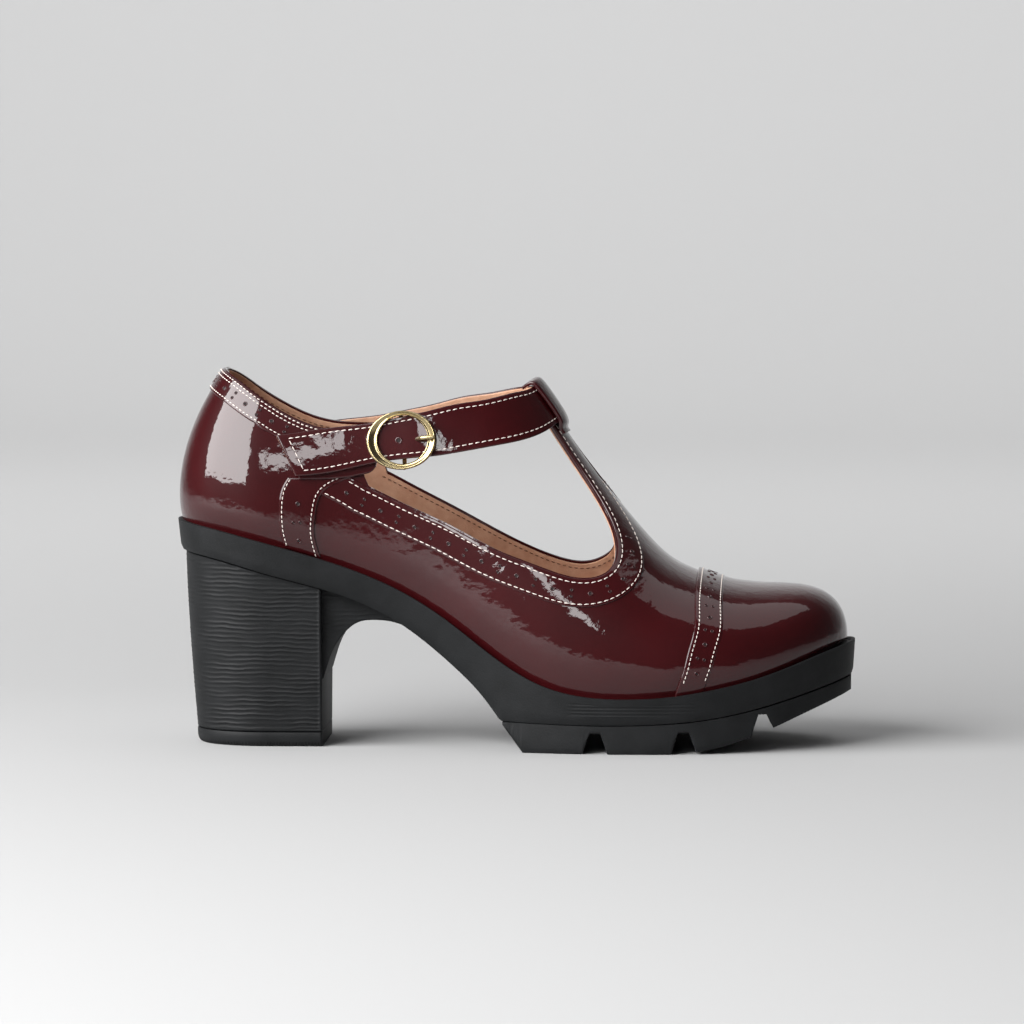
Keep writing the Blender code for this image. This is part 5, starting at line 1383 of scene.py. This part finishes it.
def punch_line(line, offset, spacing, spread, first=0.5):
    """One large hole, then a pair across the strip, in turn along a line."""
    at, along, normal = read_line(line, spacing, offset, first)
    across = unit(np.cross(normal, along))
    large.append((at[::2], along[::2], normal[::2]))
    for sign in (-1, 1):
        small.append((at[1::2] + sign * spread * across[1::2], along[1::2], normal[1::2]))


for side in (-1, 1):
    middle_line = walk(cut_line(vamp_line(side, 0.262), 0.0, 0.82), 6.1 * MM, side)
    punch_line(middle_line, 0.5 * MM, 6.9 * MM, 1.15 * MM, 0.3)
    front, rear = table_line(QUARTER_FRONT, side, 0.03, 0.30), table_line(QUARTER_REAR, side, 0.03, 0.30)
    between = tuple((a + b) / 2 for a, b in zip(front, rear))
    punch_line(between, STRIP_HEIGHT, 6.8 * MM, 1.25 * MM, 0.35)
punch_line(walk(COLLAR_LINE, 5.4 * MM, 1.0), STRIP_HEIGHT, 5.9 * MM, 1.1 * MM)
punch_line(tuple(a[14:-14] for a in cap_line(CAP_STRIP / 2, 240)), cap_top, 5.5 * MM, 1.25 * MM)
spare = [(buckle_point(-1.1 * MM, 0.1 * MM, 0.03 * MM)[None], AXIS_ALONG[None], AXIS_OUT[None])]
# The dark discs are painted shade inside the holes; the rings round them are patent leather.
for label, radius, places in (("large", PUNCH_LARGE, large), ("small", PUNCH_SMALL, small),
                              ("spare", STRAP_HOLE, spare)):
    copies(f"punched_{label}", *punch_shape(radius, HOLE_SHADE_DISC), places, HOLE_SHADE_PAINT)
    copies(f"punched_{label}_rings", *punch_shape(radius, HOLE_RING), places, PATENT)

# %% [markdown]
# ## Stage, light and camera
# A seamless pale sweep stands behind and below; towards the camera it is painted dark, as shade for the
# patent to reflect. One large soft light at the heel's side and a small one for the strap give the long
# reflections of a product photograph, one overhead fills, and one lights the backdrop. The camera stands
# where the photograph's did.

# %% Stage
bpy.context.scene.view_settings.view_transform = "Standard"
PALE, FRONT_SHADE = (0.43, 0.43, 0.431), (0.08, 0.08, 0.082)
SWEEP = new_material("pale_sweep", PALE, 0.9)
apart = node(SWEEP, "ShaderNodeSeparateXYZ")
join(SWEEP, node(SWEEP, "ShaderNodeTexCoord").outputs["Object"], apart.inputs[0])
# The sweep fades from pale to dark between y = -0.8 and -2.2, towards the camera: painted shade for the
# patent to reflect.
near = node(SWEEP, "ShaderNodeMapRange", From_Min=-2.2, From_Max=-0.8)
join(SWEEP, apart.outputs["Y"], near.inputs["Value"])
tint(SWEEP, near.outputs["Result"], 0.0, 1.0, FRONT_SHADE, PALE)
t = np.linspace(0, 1, 60)[:, None]
back_y, radius = 1.6, 0.9
angle = np.clip((t - 0.45) / 0.25, 0, 1) * math.pi / 2
y = np.where(t < 0.45, -3 + (back_y + 3) * t / 0.45, back_y + radius * np.sin(angle))
z = np.where(t < 0.7, radius * (1 - np.cos(angle)), radius + (t - 0.7) * 8)
x = np.linspace(-5, 5, 21)[None, :]
points = np.stack([x + 0 * y, y + 0 * x, z + 0 * x], -1)
mesh = bpy.data.meshes.new("sweep")
mesh.from_pydata(points.reshape(-1, 3).tolist(), [], grid_faces(60, 21).tolist())
mesh.shade_smooth()
mesh.materials.append(SWEEP)
sweep = bpy.data.objects.new("sweep", mesh)
bpy.context.scene.collection.objects.link(sweep)

world = bpy.data.worlds.new("studio")
bpy.context.scene.world = world
world.use_nodes = True
world.node_tree.nodes["Background"].inputs["Color"].default_value = (0.96, 0.97, 1.0, 1)
world.node_tree.nodes["Background"].inputs["Strength"].default_value = 0.06


def softbox(name, place, target, size, power):
    """Area light of a given width and height at a place, turned to a target."""
    light = bpy.data.lights.new(name, "AREA")
    light.shape = "RECTANGLE"
    light.size, light.size_y = size
    light.energy = power
    holder = bpy.data.objects.new(name, light)
    holder.location = place
    holder.rotation_euler = (Vector(target) - Vector(place)).to_track_quat("-Z", "Y").to_euler()
    bpy.context.scene.collection.objects.link(holder)


softbox("top_light", (0.05, 0.2, 2.2), (0, 0, 0.05), (3.0, 2.0), 19)
softbox("heel_side_light", (-1.07, -0.86, 0.82), (-0.08, 0, 0.09), (1.84, 1.15), 68)
softbox("strap_light", (-0.08, -1.25, 0.50), (-0.08, 0, 0.11), (0.16, 0.12), 0.5)
softbox("backdrop_light", (0, 0.8, 1.5), (0, 3.0, 0.6), (3.0, 0.8), 42)

# %% Camera at the photograph's angle
CAMERA_AZIMUTH, CAMERA_ELEVATION, CAMERA_DISTANCE = math.radians(3.0), math.radians(4.5), 2.5
PIXELS_PER_METRE, FRAME_PIXELS, SENSOR = 2755.0, 1024, 36.0
level_view = math.cos(CAMERA_ELEVATION)
view = Vector((-math.sin(CAMERA_AZIMUTH) * level_view, math.cos(CAMERA_AZIMUTH) * level_view,
               -math.sin(CAMERA_ELEVATION)))
camera = bpy.data.objects.new("camera", bpy.data.cameras.new("camera"))
camera.data.sensor_width = SENSOR
camera.data.lens = PIXELS_PER_METRE * CAMERA_DISTANCE / FRAME_PIXELS * SENSOR
camera.data.clip_end = 50
camera.location = Vector((-0.0016, 0, 0.0835)) - view * CAMERA_DISTANCE
camera.rotation_euler = view.to_track_quat("-Z", "Y").to_euler()
bpy.context.scene.collection.objects.link(camera)
bpy.context.scene.camera = camera

# %% Update the view layer
bpy.context.view_layer.update()
